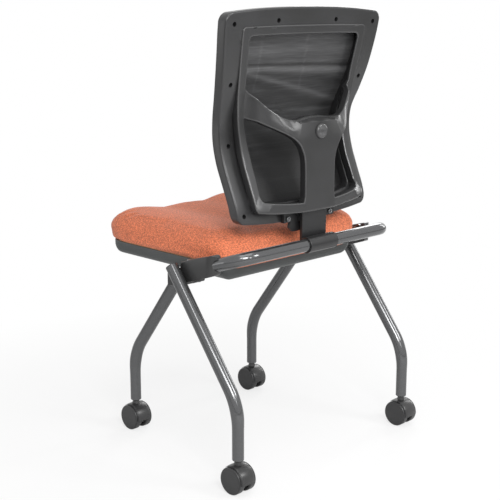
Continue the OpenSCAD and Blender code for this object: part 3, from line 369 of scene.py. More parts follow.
def stretched_mesh(name, bright, light, middle, dark):
    """Woven polyester mesh: fine wefts that run across the back, too fine to tell apart from a chair's
    length away, so they are drawn as streaks 2.5 mm high over bands 14 mm high. The colour also carries
    painted light: the cloth is painted paler towards the top and darker lower down where it lies in shade,
    and its own attribute paints shade and highlight along the folds, and two faint pale lines."""
    mat, tree, bsdf = finish(name, light, 0.55, Sheen_Weight=0.3, Sheen_Roughness=0.4)
    uv = add(tree, "UVMap", uv_map="cloth").outputs["UV"]
    long = add(tree, "Mapping", [("Vector", uv)], Scale=(0.045, 1.0, 1.0)).outputs["Vector"]
    wefts = add(tree, "TexNoise", [("Vector", long)], Scale=1 / (2.5 * MM), Detail=3.0).outputs["Fac"]
    bands = add(tree, "TexNoise", [("Vector", long)], Scale=1 / (14 * MM), Detail=1.0).outputs["Fac"]
    both = add(tree, "Math", [(0, wefts), (1, bands)], operation="ADD").outputs[0]
    tone = add(tree, "MapRange", [("Value", both)], From_Min=0.7, From_Max=1.3, To_Min=-0.2, To_Max=0.2)
    # painted light: the cloth paler towards the top and darker lower down, where it lies in shade
    high = add(tree, "SeparateXYZ", [(0, uv)]).outputs["Y"]
    pale = add(tree, "MapRange", [("Value", high)], From_Min=0.62, From_Max=0.86, To_Max=0.62)
    level = add(tree, "Math", [(0, tone.outputs[0]), (1, pale.outputs[0])], operation="ADD").outputs[0]
    # painted shade and painted highlight along the folds, and two faint pale lines, read from the mesh
    slack = add(tree, "Attribute", attribute_name="slack").outputs["Fac"]
    level = add(tree, "Math", [(0, slack), (2, level)], operation="MULTIPLY_ADD", i1=0.34).outputs[0]
    colour = add(tree, "ValToRGB", [("Fac", level)],
                 stops=[(0.0, dark), (0.3, middle), (0.66, light), (1.0, bright)])
    bump = add(tree, "Bump", [("Height", wefts)], Strength=0.4, Distance=0.5 * MM)
    wire(tree, bsdf, Base_Color=colour.outputs[0], Normal=bump.outputs[0])
    return mat


def pebbled_upholstery(name, light, middle, dark):
    """Salmon orange contract cloth: dense nubs, each a little lighter or darker, with soft sheen. Real nubs
    are finer, and these are drawn 1.7 mm across so that they show."""
    mat, tree, bsdf = finish(name, middle, 0.9, Sheen_Weight=0.15, Sheen_Roughness=0.5)
    at = add(tree, "TexCoord").outputs["Object"]
    cells = add(tree, "TexVoronoi", [("Vector", at)], Scale=1 / (1.7 * MM))
    tone = add(tree, "SeparateColor", [("Color", cells.outputs["Color"])]).outputs["Red"]
    fine = add(tree, "TexNoise", [("Vector", at)], Scale=1 / (2 * MM), Detail=1.0).outputs["Fac"]
    both = add(tree, "Math", [(0, tone), (1, fine)], operation="MULTIPLY").outputs[0]
    colour = add(tree, "ValToRGB", [("Fac", both)], stops=[(0.0, dark), (0.25, middle), (0.65, light)])
    nubs = add(tree, "Math", [(0, cells.outputs["Distance"])], operation="MULTIPLY", i1=-1.0).outputs[0]
    bump = add(tree, "Bump", [("Height", nubs)], Strength=0.35, Distance=0.6 * MM)
    wire(tree, bsdf, Base_Color=colour.outputs[0], Normal=bump.outputs[0])
    return mat


def birch_ply(name, light, dark):
    """Birch plywood: veneers 1.5 mm thick seen at its edge."""
    mat, tree, bsdf = finish(name, light, 0.6)
    at = add(tree, "TexCoord").outputs["Object"]
    bands = add(tree, "TexWave", [("Vector", at)], bands_direction="Z", Scale=1 / (1.5 * MM) / 20,
                Distortion=1.0)
    tone = add(tree, "ValToRGB", [("Fac", bands.outputs["Fac"])], stops=[(0.2, dark), (0.8, light)])
    wire(tree, bsdf, Base_Color=tone.outputs[0])
    return mat


FINISHES = {}


def shade(colour, factor):
    """A colour from the settings made darker or paler, as an sRGB hex value."""
    return "#" + "".join(f"{min(255, max(0, round(255 * c * factor))):02X}" for c in colour)


def make_finishes(tint):
    """All finishes of the chair, by their short names, from the colours in the settings."""
    tube, plastic, cloth = tint.tube, tint.plastic, tint.cloth
    FINISHES.update(
        tube=painted_tube("powder_coated_steel_tube", shade(tube, 1.0), shade(tube, 0.9)),
        charcoal=moulded_plastic("charcoal_moulded_nylon", shade(plastic, 1.0), shade(plastic, 0.88), 0.3),
        pan=moulded_plastic("charcoal_moulded_polypropylene", "#434646", "#3A3D3D", 0.42),
        # edge: glossier nylon, painted paler as a painted highlight on the brace's rims and the hub's cap
        edge=moulded_plastic("glossy_nylon_edge_painted_highlight", shade(plastic, 1.5), shade(plastic, 1.4), 0.14),
        # black: the real black parts, and painted shade on the brace's walls, in the frame's screw holes, in
        # the casters' grooves and round the hub's cap
        black=moulded_plastic("black_nylon_and_painted_shade", "#1C1C1D", "#161617", 0.5),
        wheel=moulded_plastic("wheel_nylon", "#2A2A2B", "#232324", 0.34),
        black_steel=moulded_plastic("black_painted_steel", "#1F1F20", "#1A1A1B", 0.36, 1.4, 0.03),
        zinc=bright_zinc("zinc_plated_steel", "#C9CACB", "#A9ABAD"),
        steel=bright_zinc("plain_steel", "#8C8D8E", "#747577"),
        mesh=stretched_mesh("woven_polyester_mesh", "#5A5A5B", "#3F3F40", "#1E1E1F", "#0C0C0D"),
        cloth=pebbled_upholstery("salmon_contract_cloth", *[shade(cloth, k) for k in (1.2, 0.97, 0.74)]),
        ply=birch_ply("birch_plywood_edge", "#C9A77A", "#A8845A"),
    )


# ---------------------------------------------------------------- lines of the back

BACK_Z, BACK_H, BACK_X = 512.0, 435.0, 230.0
LUMBAR_Y, LUMBAR_DEPTH, HUB_Y, BRACE_PROUD = 91.0, 56.0, 182.0, 24.0
# Tables at even heights up the back: depth of the bow, half-widths of the frame and of the ring's two
# edges, and how far the ring's side rails stand proud
BOW = [0.955, 0.786, 0.473, 0.17, 0.005, 0.05, 0.312, 0.55, 0.732, 0.879, 1.0]
WIDTH = [0.85, 0.856, 0.858, 0.861, 0.862, 0.872, 0.912, 0.948, 0.974, 0.994, 1.0]
RING_OUT = [0.7, 0.709, 0.716, 0.719, 0.717, 0.731, 0.753, 0.769, 0.785, 0.795, 0.8]
RING_IN = [0.64, 0.638, 0.627, 0.622, 0.637, 0.662, 0.675, 0.682, 0.697, 0.711, 0.715]
LIFT = [0.9, 0.94, 1.01, 1.02, 0.94, 0.75, 0.375, 0.16, 0.1, 0.1, 0.1]
FRAME_LOW, FRAME_TOP, RAIL_W, LOW_RAIL_W = BACK_Z + 9, BACK_Z + BACK_H - 9, 48.0, 40.0
RING_TOP, RING_LOW = BACK_Z + BACK_H - 38, BACK_Z + 32


def share(z):
    """Height as a share of the back's height."""
    return (np.asarray(z, float) - BACK_Z) / BACK_H


def half_width(shares, z):
    """Half of the back's width by one of its tables of shares."""
    return BACK_X * smooth_curve(shares, share(z))


def back_y(z):
    """Rear face of the frame: the lumbar bow through its table of depths."""
    return LUMBAR_Y + LUMBAR_DEPTH * smooth_curve(BOW, share(z))


def brace_y(z):
    """Rear face of the brace's side rails, proud of the frame by its table of lifts."""
    return back_y(z) + BRACE_PROUD * smooth_curve(LIFT, share(z))


def back_outline(shares, inset, z0, z1, r, crown_top, crown_low, n=64):
    """Closed outline in front view: sides from a table of half-widths, quarter-round corners, crowned ends."""
    side_z = np.linspace(z0 + r, z1 - r, n)
    right = np.stack([half_width(shares, side_z) - inset, side_z], 1)
    a = np.radians(np.arange(1, 12) * 7.5)
    k = np.linspace(-1, 1, 41)
    corners, ends = [], []
    for z, up, crown_h in ((z1, 1, crown_top), (z0, -1, crown_low)):
        w = float(half_width(shares, z) - inset) - r
        corners.append(np.stack([w + r * np.cos(a), z + up * r * (np.sin(a) - 1)], 1))
        ends.append(np.stack([w * k, z + up * crown_h * (1 - np.abs(k) ** 2.5)], 1))
    flip = np.array([-1, 1])
    return np.concatenate([right, corners[0], ends[0][::-1], corners[0][::-1] * flip, right[::-1] * flip,
                           corners[1] * flip, ends[1], corners[1][::-1]])


def loop_grid(outer, inner, section, rear_at):
    """A profile carried round a loop. Section rows are (distance in from the outer edge, or out from the
    inner edge if negative, and depth); rear_at(x, z, depth) gives Y for each place."""
    gap = np.linalg.norm(inner - outer, axis=1)
    cols = []
    for d, level in section:
        t = d / gap if d >= 0 else 1 + d / gap
        p = outer + (inner - outer) * t[:, None]
        cols.append(np.stack([p[:, 0], rear_at(p[:, 0], p[:, 1], level), p[:, 1]], 1))
    return np.stack(cols, 1)


# Frame rail: rolled rear rim, flat rear face, opening wall, front face and the thin rim round the mesh, as
# (distance in, depth). IN lies on the inner edge itself
IN = -1e-6
FRAME_SECTION = [(0, -12), (0, -4.5), (0.3, -2.9), (1.1, -1.4), (2.4, -0.5), (4.2, -0.1), (6.5, 0), (20, 0),
                 (40, 0), (-4, 0), (-1.5, -0.8), (-0.4, -2.2), (IN, -4), (IN, -19), (-0.6, -20.6), (-2, -21.2),
                 (-10, -21.4), (8, -21.4), (4.0, -21.4), (3.6, -22.7), (1.0, -22.9), (0.2, -22.3), (0, -21.4)]
# Half of the stem's width, how far the lower rail falls back for each mm beside it, the width of the blend
# up to the side rails, and the sides of the flat facet there
STEM_X, RAIL_FALL = 45.0, 0.152
CORNER_BLEND, CORNER_SIDES = 27.0, (((122, 568), (142, 542)), ((144, 582), (170, 556)))


def ring_lift(x, z):
    """Weight of the side rails' line: 0 on the ring's lower rail, 1 above it, between them a flat facet."""
    (x0, z0), _ = CORNER_SIDES[0]
    across = 0.79 * (np.abs(x) - x0) + 0.61 * (z - z0)
    return np.clip((across + 1) / CORNER_BLEND, 0, 1)


def ring_y(x, z):
    """Rear face of the ring: the lumbar line on its sides, and a lower rail bowed in plan beside the stem."""
    bow = HUB_Y - np.maximum(np.abs(x) - STEM_X, 0) * RAIL_FALL
    w = ring_lift(x, z)
    return bow * (1 - w) + brace_y(z) * w


# Half of the brace's Y, as (x, z) and then the depth Y of its face along the same line: the top edge from
# the hub's middle to the ring, and the lower edge from the ring round to the stem's foot
Y_TOP = [(0, 728.3), (14, 728), (28, 727), (40, 725.3), (50, 724), (60, 724.2), (70, 725), (80.3, 727),
         (90.2, 731), (99.3, 736.3), (109.5, 743.4), (119.8, 752), (131, 762.4), (142.1, 773.8), (153, 786.5),
         (163.7, 798)]
Y_LOW = [(160, 731.6), (149.5, 729.5), (139, 725.5), (129.4, 720.2), (120, 714.9), (111, 709.8), (102, 704.8),
         (93.8, 700), (85, 694.6), (74, 687.4), (64.5, 678.9), (56.8, 668.6), (51, 657.5), (47.4, 646.4),
         (45.6, 634), (45, 619), (44.8, 603), (44.8, 587), (45, 560)]
TOP_DEPTH = [(0, 160), (50, 163.5), (60, 165.5), (70, 167), (80, 164), (90, 160.6), (99.3, 157.5),
             (131, 141.2), (164, 124), (200, 105)]
LOW_DEPTH = [(0, 182), (60, 182), (66, 181), (74, 178.6), (85, 174.6), (94, 169), (102, 163), (111, 155.1),
             (120, 147.2), (129.4, 139.8), (139, 132.7), (160, 118), (200, 90)]
# The hub's edge as (z, x), how far and from which height the hub falls to it, and the slope of its top chamfer
HUB_EDGE = [(697, 60.5), (718.8, 51.2), (730, 50.4)]
HUB_FALL, FALL_Z, FALL_H, CHAMFER = 5, 690, 28, 2.35
# Where an arm's facet ends, where the arm starts to swell and over which length, and by how much
FACET_X, SWELL_X, SWELL_W, SWELL = 75, 115, 45, 2.5


def along(table, at):
    """Straight lines through a table of (place, value)."""
    return np.interp(at, *np.array(table, float).T)


def y_face(x, z):
    """Rear face of the Y: flat on the stem and hub, falling to the hub's upper corners; past the hub's edge
    line a facet that looks upwards, then the arms, ruled between the depths of their two edges and swelling
    beyond a crease; the hub's top is chamfered down to its front edge."""
    x, z = np.abs(np.asarray(x, float)), np.asarray(z, float)

    def hub(at):
        s = (z - FALL_Z) / FALL_H
        return HUB_Y - HUB_FALL * np.minimum((s + np.sqrt(s * s + 0.08)) / 2 - 0.01, 1.2) * (at / 50) ** 1.3

    def ruled(at):
        up, low = along(Y_TOP, at), along(Y_LOW[11::-1], at)
        f = np.clip((up - z) / (up - low), 0, 1)
        # the upper half takes most of the fall between the edges, so it looks further upwards
        f = np.minimum(f / 0.55 * 0.85, 0.85 + (f - 0.55) / 0.45 * 0.15)
        s = np.clip((at - SWELL_X) / SWELL_W, 0, 1)
        swell = SWELL * 4 * s * (1 - s) * np.clip(6 * np.minimum(f, 1 - f), 0, 1)
        return along(TOP_DEPTH, at) * (1 - f) + along(LOW_DEPTH, at) * f + swell
    edge = along(HUB_EDGE, z)
    root, arm = hub(edge), ruled(FACET_X + 0 * x)
    t = np.clip((x - edge) / (FACET_X - edge), 0, 1)
    y = np.where(x < edge, hub(x), np.where(x < FACET_X, root + (arm - root) * t, ruled(x)))
    chamfer = along(TOP_DEPTH, x) + (along(Y_TOP, x) - z) * CHAMFER
    return np.where(x < FACET_X, np.minimum(y, chamfer), y)


# Width of the blend between the Y and the ring's sides, where the blends from its lower and upper rails end
# and their heights, and the height of the brace's walls
RING_BLEND, LOW_BLEND, TOP_BLEND, BRACE_WALL = 18, (580, 14), (830, 20), 15.4


def brace_face(x, z):
    """Rear face of the whole brace: the ring's on its sides and rails, blended into the Y's within them."""
    x, z = np.asarray(x, float), np.asarray(z, float)
    side = ease((np.abs(x) - half_width(RING_IN, z) + RING_BLEND) / RING_BLEND)
    low, top = (LOW_BLEND[0] - z) / LOW_BLEND[1], (z - TOP_BLEND[0]) / TOP_BLEND[1]
    t = np.maximum(np.maximum(side, np.clip(low, 0, 1)), np.clip(top, 0, 1))
    return ring_y(x, z) * t + y_face(x, z) * (1 - t)


def brace_foot(x, z):
    """Foot of the brace's walls: on the frame where the two are close, and a wall's height under the face
    where it stands clear."""
    return np.maximum(back_y(z) - 1, brace_face(x, z) - BRACE_WALL)


def within(loop, p):
    """Which points lie in a closed outline: those whose ray to the right crosses an odd number of sides."""
    a, b = loop, np.roll(loop, -1, 0)
    above = (a[None, :, 1] > p[:, None, 1]) != (b[None, :, 1] > p[:, None, 1])
    rise = np.where(a[:, 1] == b[:, 1], 1, b[:, 1] - a[:, 1])
    cross = a[None, :, 0] + (p[:, None, 1] - a[None, :, 1]) * ((b - a)[:, 0] / rise)[None]
    return (above & (p[:, None, 0] < cross)).sum(1) % 2 == 1


def even_steps(line, step, closed=False):
    """A line's points spaced evenly, about a step apart."""
    p = np.concatenate([line, line[:1]]) if closed else np.asarray(line, float)
    at = np.concatenate([[0], np.cumsum(np.linalg.norm(np.diff(p, axis=0), axis=1))])
    s = np.linspace(0, at[-1], int(at[-1] / step) + 1)
    out = np.stack([np.interp(s, at, p[:, 0]), np.interp(s, at, p[:, 1])], 1)
    return out[:-1] if closed else out


EDGE_STEP = 4


def brace_openings():
    """The brace's three openings: the large one over the arms, and the two between arm, stem and ring."""
    inner = back_outline(RING_IN, 0, RING_LOW + 20, RING_TOP - 18, 10, 2, 9)
    top = smooth_curve(np.array(Y_TOP, float), np.linspace(0, 1, 60))
    low = smooth_curve(np.array(Y_LOW, float), np.linspace(0, 1, 90))
    top = top[top[:, 0] < half_width(RING_IN, top[:, 1]) - 0.5]
    low = low[(low[:, 0] < half_width(RING_IN, low[:, 1]) - 0.5) & (low[:, 1] > RING_LOW + 20)]
    start = np.flatnonzero((inner[:, 0] > 0) & (inner[:, 1] > top[-1, 1] + 2))[0]
    turned = np.roll(inner, -start, 0)
    over = turned[turned[:, 1] > top[-1, 1] + 2]
    upper = np.concatenate([over, (top * (-1, 1))[::-1], top[1:]])
    side = inner[(inner[:, 0] > low[-1, 0] + 1) & (inner[:, 1] < low[0, 1] - 2)]
    # in order round a place inside the opening
    left = np.concatenate([side[np.argsort(np.arctan2(side[:, 1] - 640, side[:, 0] - 100))], low])
    return [even_steps(p, EDGE_STEP, True) for p in (upper, left, left * (-1, 1))]


def nearest(places, p):
    """Squared distance of each point to the nearest of some places."""
    return np.array([np.min(np.sum((places - q) ** 2, 1)) for q in p])


def plate_part(loops, lines, rim, face, foot, step=3.6):
    """A moulding cut to an outline with openings. Its face is triangulated over a grid of places and along
    crease lines; each loop carries a rim and a wall, as (distance in from the edge, depth) with None for
    the foot. Gives vertices, faces, each face's kind (0 face, 1 rim, 2 wall) and the creases' vertices."""
    rows = []
    for k, p in enumerate(loops):
        out = []
        # the outline runs anticlockwise and the openings clockwise
        p = p if (signed_area(p) > 0) == (k == 0) else p[::-1]
        for d, depth in rim:
            q = inset_outline(p, d if k == 0 else -d)
            y = foot(q[:, 0], q[:, 1]) if depth is None else face(q[:, 0], q[:, 1]) + depth
            out.append(np.stack([q[:, 0], y, q[:, 1]], 1))
        rows.append(out)
    edge = [out[0][:, [0, 2]] for out in rows]
    lo, hi = edge[0].min(0), edge[0].max(0)
    gx, gz = np.meshgrid(np.arange(lo[0], hi[0], step), np.arange(lo[1], hi[1], step))
    grid = np.stack([gx.ravel() + 0.37 * (np.arange(gx.size) % 2), gz.ravel()], 1)

    def inside(p):
        ok = within(edge[0], p)
        for q in edge[1:]:
            ok &= ~within(q, p)
        return ok

    def free(p, gap):
        return inside(p) & (nearest(np.concatenate(edge), p) > gap * gap)
    creases = [line[free(line, 0.6)] for line in lines]
    grid = grid[free(grid, 2.0)]
    grid = grid[nearest(np.concatenate(creases), grid) > 2.2 ** 2]
    points, links, first = [], [], 0
    for q in edge:
        links += [(first + i, first + (i + 1) % len(q)) for i in range(len(q))]
        points.append(q)
        first += len(q)
    rim_count, crease_ids = first, set()
    for q in creases:
        links += [(first + i, first + i + 1) for i in range(len(q) - 1)
                  if np.linalg.norm(q[i + 1] - q[i]) < 2 * step]
        crease_ids |= set(range(first, first + len(q)))
        points.append(q)
        first += len(q)
    points = np.concatenate(points + [grid])
    co, _, tris, ids, _, _ = delaunay_2d_cdt([Vector(p) for p in points], links, [], 0, 1e-4, True)
    co = np.array([tuple(p) for p in co])
    keep = inside(np.array([co[list(t)].mean(0) for t in tris]))
    tris = [t for t, k in zip(tris, keep) if k]
    # numbers: every loop's rows first, then the face's inner places, then the same places on the foot
    verts, faces, kinds, starts, first = [], [], [], [], 0
    for out in rows:
        n = len(out[0])
        starts.append(first)
        verts += out
        for r in range(len(out) - 1):
            i = np.arange(n)
            j = (i + 1) % n
            a, b = first + r * n, first + (r + 1) * n
            faces += np.stack([a + i, a + j, b + j, b + i], 1).tolist()
            kinds += [1 if r < 3 else 2] * n
        first += len(out) * n
    source = [min(k) if k else -1 for k in ids]
    inner = [k for k, s in enumerate(source) if s < 0 or s >= rim_count]
    place_of = {k: first + i for i, k in enumerate(inner)}
    p = co[inner]
    for height in (face, foot):
        verts.append(np.stack([p[:, 0], height(p[:, 0], p[:, 1]), p[:, 1]], 1))
    face_of, foot_of, at = {}, {}, 0
    for out, s in zip(rows, starts):
        n = len(out[0])
        for i in range(n):
            face_of[at + i], foot_of[at + i] = s + i, s + (len(out) - 1) * n + i
        at += n
    for t in tris:
        f = [face_of[source[k]] if 0 <= source[k] < rim_count else place_of[k] for k in t]
        g = [foot_of[source[k]] if 0 <= source[k] < rim_count else place_of[k] + len(inner) for k in t]
        faces += [f[::-1], g]
    creased = {place_of[k] for k in inner if source[k] in crease_ids}
    return np.concatenate(verts), faces, kinds + [0] * (len(faces) - len(kinds)), creased


# Creases on each side of the Y, from (x, z) to (x, z): along the hub's edge and down from it, at both ends
# of the arm's facet, and up to the chamfer
CREASES = (((51.2, 718.8), (60.5, 697)), ((60.5, 697), (69, 684.5)), ((FACET_X, 728), (FACET_X, 686)),
           ((SWELL_X, 752), (SWELL_X, 709)), ((51.2, 718.8), (50.4, 724.5)))


def brace_part():
    """The ring, the arms, the hub and the stem as one moulding."""
    outer = even_steps(back_outline(RING_OUT, 0, RING_LOW, RING_TOP, 9, 2, 9), EDGE_STEP, True)
    t = np.linspace(0, 1, 14)[:, None]
    k = np.linspace(-51.1, 51.1, 26)
    lines = [np.stack([k, along(Y_TOP, np.abs(k)) - along([(0, 9.6), (22, 9.6), (51.1, 5.2)], np.abs(k))], 1)]
    for side in (-1, 1):
        for a, b in CREASES + CORNER_SIDES:
            lines.append((np.array(a, float) + (np.array(b, float) - a) * t) * (side, 1))
    rim = [(2.2, 0), (1.1, -0.3), (0.35, -1.1), (0, -2.4), (0, None)]
    verts, faces, kinds, creased = plate_part([outer] + brace_openings(), lines, rim, brace_face, brace_foot)
    return (verts, faces), kinds, creased


# ---------------------------------------------------------------- settings

def number(name, about, value, low, high, **kind):
    """A setting that is a number within limits."""
    return bpy.props.FloatProperty(name=name, description=about, default=value, min=low, max=high, **kind)


def paint(name, about, value, subtype="COLOR_GAMMA"):
    """A setting that is a colour."""
    return bpy.props.FloatVectorProperty(
        name=name, description=about, subtype=subtype, size=3, default=value, min=0.0, max=1.0)


class ChairBackSettings(bpy.types.PropertyGroup):
    """Sizes of the mesh back that a user would change."""
    fold_depth: number("Fold depth", "Depth of the soft folds across the mesh", 0.0034, 0.0, 0.004,
                       unit="LENGTH")
    mesh_thickness: number("Mesh thickness", "Thickness of the woven mesh", 0.0012, 0.0005, 0.0016,
                           unit="LENGTH")


class ChairSeatSettings(bpy.types.PropertyGroup):
    """Sizes of the seat that a user would change."""
    padding: number("Padding", "How full the cushion is", 0.8, 0.2, 1.0, subtype="FACTOR")
    swell: number("Swell", "Furthest that the cloth may move when the cushion is filled", 0.005, 0.0, 0.01,
                  unit="LENGTH")


class ChairFinishSettings(bpy.types.PropertyGroup):
    """Colours of the chair's main finishes."""
    tube: paint("Tube paint", "Colour of the powder coat on the tubes", (0.4, 0.403, 0.407))
    plastic: paint("Plastic", "Colour of the moulded back and housings", (0.2, 0.2, 0.202))
    cloth: paint("Cloth", "Colour of the seat's upholstery", (0.86, 0.475, 0.325))


class ChairStudioSettings(bpy.types.PropertyGroup):
    """Light and backdrop of the studio."""
    backdrop: paint("Backdrop", "Colour of the floor and backdrop", (1.0, 1.0, 1.0), "COLOR")
    key_power: number("Key light", "Power of the large light above the chair", 14.0, 0.0, 200.0, unit="POWER")
    fill_power: number("Side lights", "Power that the smaller lights are set from", 12.0, 0.0, 200.0,
                       unit="POWER")


# ---------------------------------------------------------------- operators

class CHAIR_OT_finishes(bpy.types.Operator):
    """Makes the chair's finishes and gives them to the CAD nodes that stay in sight"""
    bl_idname = "chair.finishes"
    bl_label = "Finishes"

    def execute(self, context):
        make_finishes(context.scene.chair_finish)
        kept = {
            "zinc": ["hinge_arm_left", "hinge_arm_right", "hinge_screws", "pan_screws"]
                    + ["caster_stem_" + c for c in CASTERS],
            "black": ["pivot_bushes", "caster_sockets", "mesh_edging", "seat_rests", "back_carrier"],
            "black_steel": ["frame_screws", "leg_bolts", "pivot_pins"],
            "wheel": ["caster_axle_" + c for c in CASTERS],
            "ply": ["seat_board"],
        }
        for short, nodes in kept.items():
            for n in nodes:
                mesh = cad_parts[n].data
                mesh.materials.clear()
                mesh.materials.append(FINISHES[short])
        return {"FINISHED"}


LEG_LEAN, FRONT_RISE, BAR_TILT = math.radians(37.3), math.radians(12), math.radians(18)
# Heights of a leg's foot, of its bend's corner and of the rear leg's top; bend radii; radius of the tubes
# and of their drawn lower ends, which grow over 45 mm from z = 125
FOOT_Z, BEND_Z, REAR_TOP = 68, 179, 431
BEND_R, UPPER_BEND_R, BAR_BEND_R = 120, 80, 44
TUBE_R, END_R, DRAWN_Z, DRAWN_H = 13.35, 12.1, 125.0, 45
PLUG = [(11, -12), (11.4, -0.5), (13.3, 0), (13.2, 0.8), (12.6, 1.5), (11.6, 1.9), (8, 2.0), (0.4, 2.0)]


class CHAIR_OT_tubes(bpy.types.Operator):
    """Bends the four legs and the cross bar, with drawn lower ends and plugs in the rear tubes"""
    bl_idname = "chair.tubes"
    bl_label = "Tubes"

    def execute(self, context):
        top = (REAR_X, LEG_Y - (REAR_TOP - BEND_Z) * math.tan(LEG_LEAN), REAR_TOP)
        rear = bent_path([(REAR_X, LEG_Y, FOOT_Z), (REAR_X, LEG_Y, BEND_Z), top], [BEND_R])
        front = bent_path([(FRONT_X, -LEG_Y, FOOT_Z), (FRONT_X, -LEG_Y, BEND_Z), (FRONT_X, -50.5, 383.6),
                           (FRONT_X, 11.8, 383.6 + 62.3 * math.tan(FRONT_RISE))], [BEND_R, UPPER_BEND_R])
        for name, path in (("rear_leg", rear), ("front_leg", front)):
            # places close together where the drawn end begins to grow
            lower = [path[0] + (0, 0, h) for h in (0, 0.8, 40)]
            lower += [(path[0, 0], path[0, 1], z) for z in (124.9, 126.5, 129.0, 131.6, 133.9)]
            path = np.concatenate([lower, path[path[:, 2] > 137]])
            r = END_R + (TUBE_R - END_R) * ease((path[:, 2] - DRAWN_Z) / DRAWN_H)
            r[0] -= 0.6
            place_pair(name + "_tube", [closed_part(tube_grid(path, r))], "tube_metal", "tube", name)
        flat = bent_path([(230, -73.9, 0), (230, 0, 0), (-230, 0, 0), (-230, -73.9, 0)], [BAR_BEND_R] * 2)
        sin, cos = math.sin(BAR_TILT), math.cos(BAR_TILT)
        bar = np.stack([flat[:, 0], BAR_Y + flat[:, 1] * cos, BAR_Z + flat[:, 1] * sin], 1)
        tan = np.gradient(bar, axis=0)
        tan /= np.linalg.norm(tan, axis=1)[:, None]
        out = np.array([0, -sin, cos])
        c, s = circle()
        grid = bar[:, None] + TUBE_R * (c[None] * out + s[None] * np.cross(tan, out)[:, None])
        place(mesh_object("cross_bar_tube", [closed_part(grid)]), "frame", "tube_metal", "tube", "cross_bar")
        # plugs: a cap with a rounded rim that closes each rear tube, square to its slope
        d = np.array([0, -math.sin(LEG_LEAN), math.cos(LEG_LEAN)])
        ring, prof = c * (1.0, 0, 0) + s * np.cross(d, [1.0, 0, 0]), np.array(PLUG)[:, :, None, None]
        part = closed_part(np.array(top) + prof[:, 0] * ring + prof[:, 1] * d)
        place(mesh_object("tube_plugs", [part, mirrored(part)]), "frame", "black_plastic", "black",
              "leg_end_plugs")
        return {"FINISHED"}


BOSS = [(-15.2, 377, 4), (14, 384, 4), (14, 414, 2), (-15.2, 414, 4)]
CHEEK_LOW = [(-15.2, 380.8), (19.8, 391.4), (45, 399.6), (80, 411.2), (120, 425)]
CHEEK_TOP = [(-15.2, 414), (19.8, 414), (27.8, 440), (64, 452), (120, 467.7)]


def cheek_grid():
    """Cheek and rear block in one: rectangular sections along Y between two edge lines, 12 mm thick beside
    the seat and 25 mm round the bar's arm. The front end is rolled by 4 mm and the rear end by 8 mm, and
    the rear outer corner has a round of 20 mm."""
    y = np.concatenate([[-15.2, -14.9, -14.0, -12.6, -11.2], np.arange(-8, 109, 3.0), [108.9, 109.05],
                        120 - 11 * np.cos(np.linspace(0.15, math.pi / 2, 14))])

    def roll(past, r):
        """How far a round of radius r has fallen, past its start."""
        return r - np.sqrt(np.clip(r * r - np.clip(past, 0, r) ** 2, 0, r * r))
    ends, rear = roll(-11.2 - y, 4), roll(y - 112, 8)
    low, top = along(CHEEK_LOW, y) + ends + rear, along(CHEEK_TOP, y) - ends - rear
    inner = np.where(y < 109, 237.15, 224.5)
    outer = 249.15 - roll(y - 100, 20)
    q = np.radians([0, 22.5, 45, 67.5, 90])
    r = 1.8
    cols = []
    for x, z, sx, sz in ((outer, top, 1, 1), (inner, top, -1, 1), (inner, low, -1, -1), (outer, low, 1, -1)):
        for k in q[::sx * sz]:
            cols.append(np.stack([x - sx * r * (1 - math.cos(k)), y, z - sz * r * (1 - math.sin(k))], 1))
    return np.stack(cols, 1)


class CHAIR_OT_housings(bpy.types.Operator):
    """Moulds the two pivot housings between the tubes: a cheek, a rear block and a front boss"""
    bl_idname = "chair.housings"
    bl_label = "Pivot housings"

    def execute(self, context):
        parts = [
            closed_part(cheek_grid()),
            closed_part(slab_grid(rounded(BOSS), 170.65, 203.35, 1.6, "x")),
            closed_part(slab_grid(rounded([(p[0], max(p[1], 381), p[2]) for p in BOSS]), 180, 240, 1.6, "x")),
        ]
        place_pair("pivot_housing", parts, "charcoal_plastic", "charcoal", "housing", 40)
        return {"FINISHED"}


# Sunk screws: share of the back's height and of its half-width, their profile, and the holes for them
SUNK_SCREWS = [(0.926, 0.9), (0.939, 0.373), (0.658, 0.898), (0.375, 0.892), (0.062, 0.91)]
SUNK_PROFILE = [(0.3, -14), (1.9, -14), (1.9, -11), (4.2, -11), (4.2, -9.4), (3.8, -9), (1.8, -9),
                (1.6, -10.2), (0.2, -10.2)]
HOLE_R, HOLE_DEPTH, RAIL_CREASE = 4.9, 10.9, 40
# Hub's cap: its height, its outer gap 1.6 mm wide, a flat ring painted black as painted shade, and its
# domed rim round a shallow dish, painted paler as a painted highlight
HUB_Z, CAP_R = 699, 15.7
CAP_SHADE_RING = [(10, -3), (17.2, -3), (17.2, 0.15), (15.6, 0.15), (15.5, 0.6)]
CAP_DISH = [(10, 5.2), (8, 4.3), (5.5, 3.6), (3, 3.3), (0.3, 3.2)]


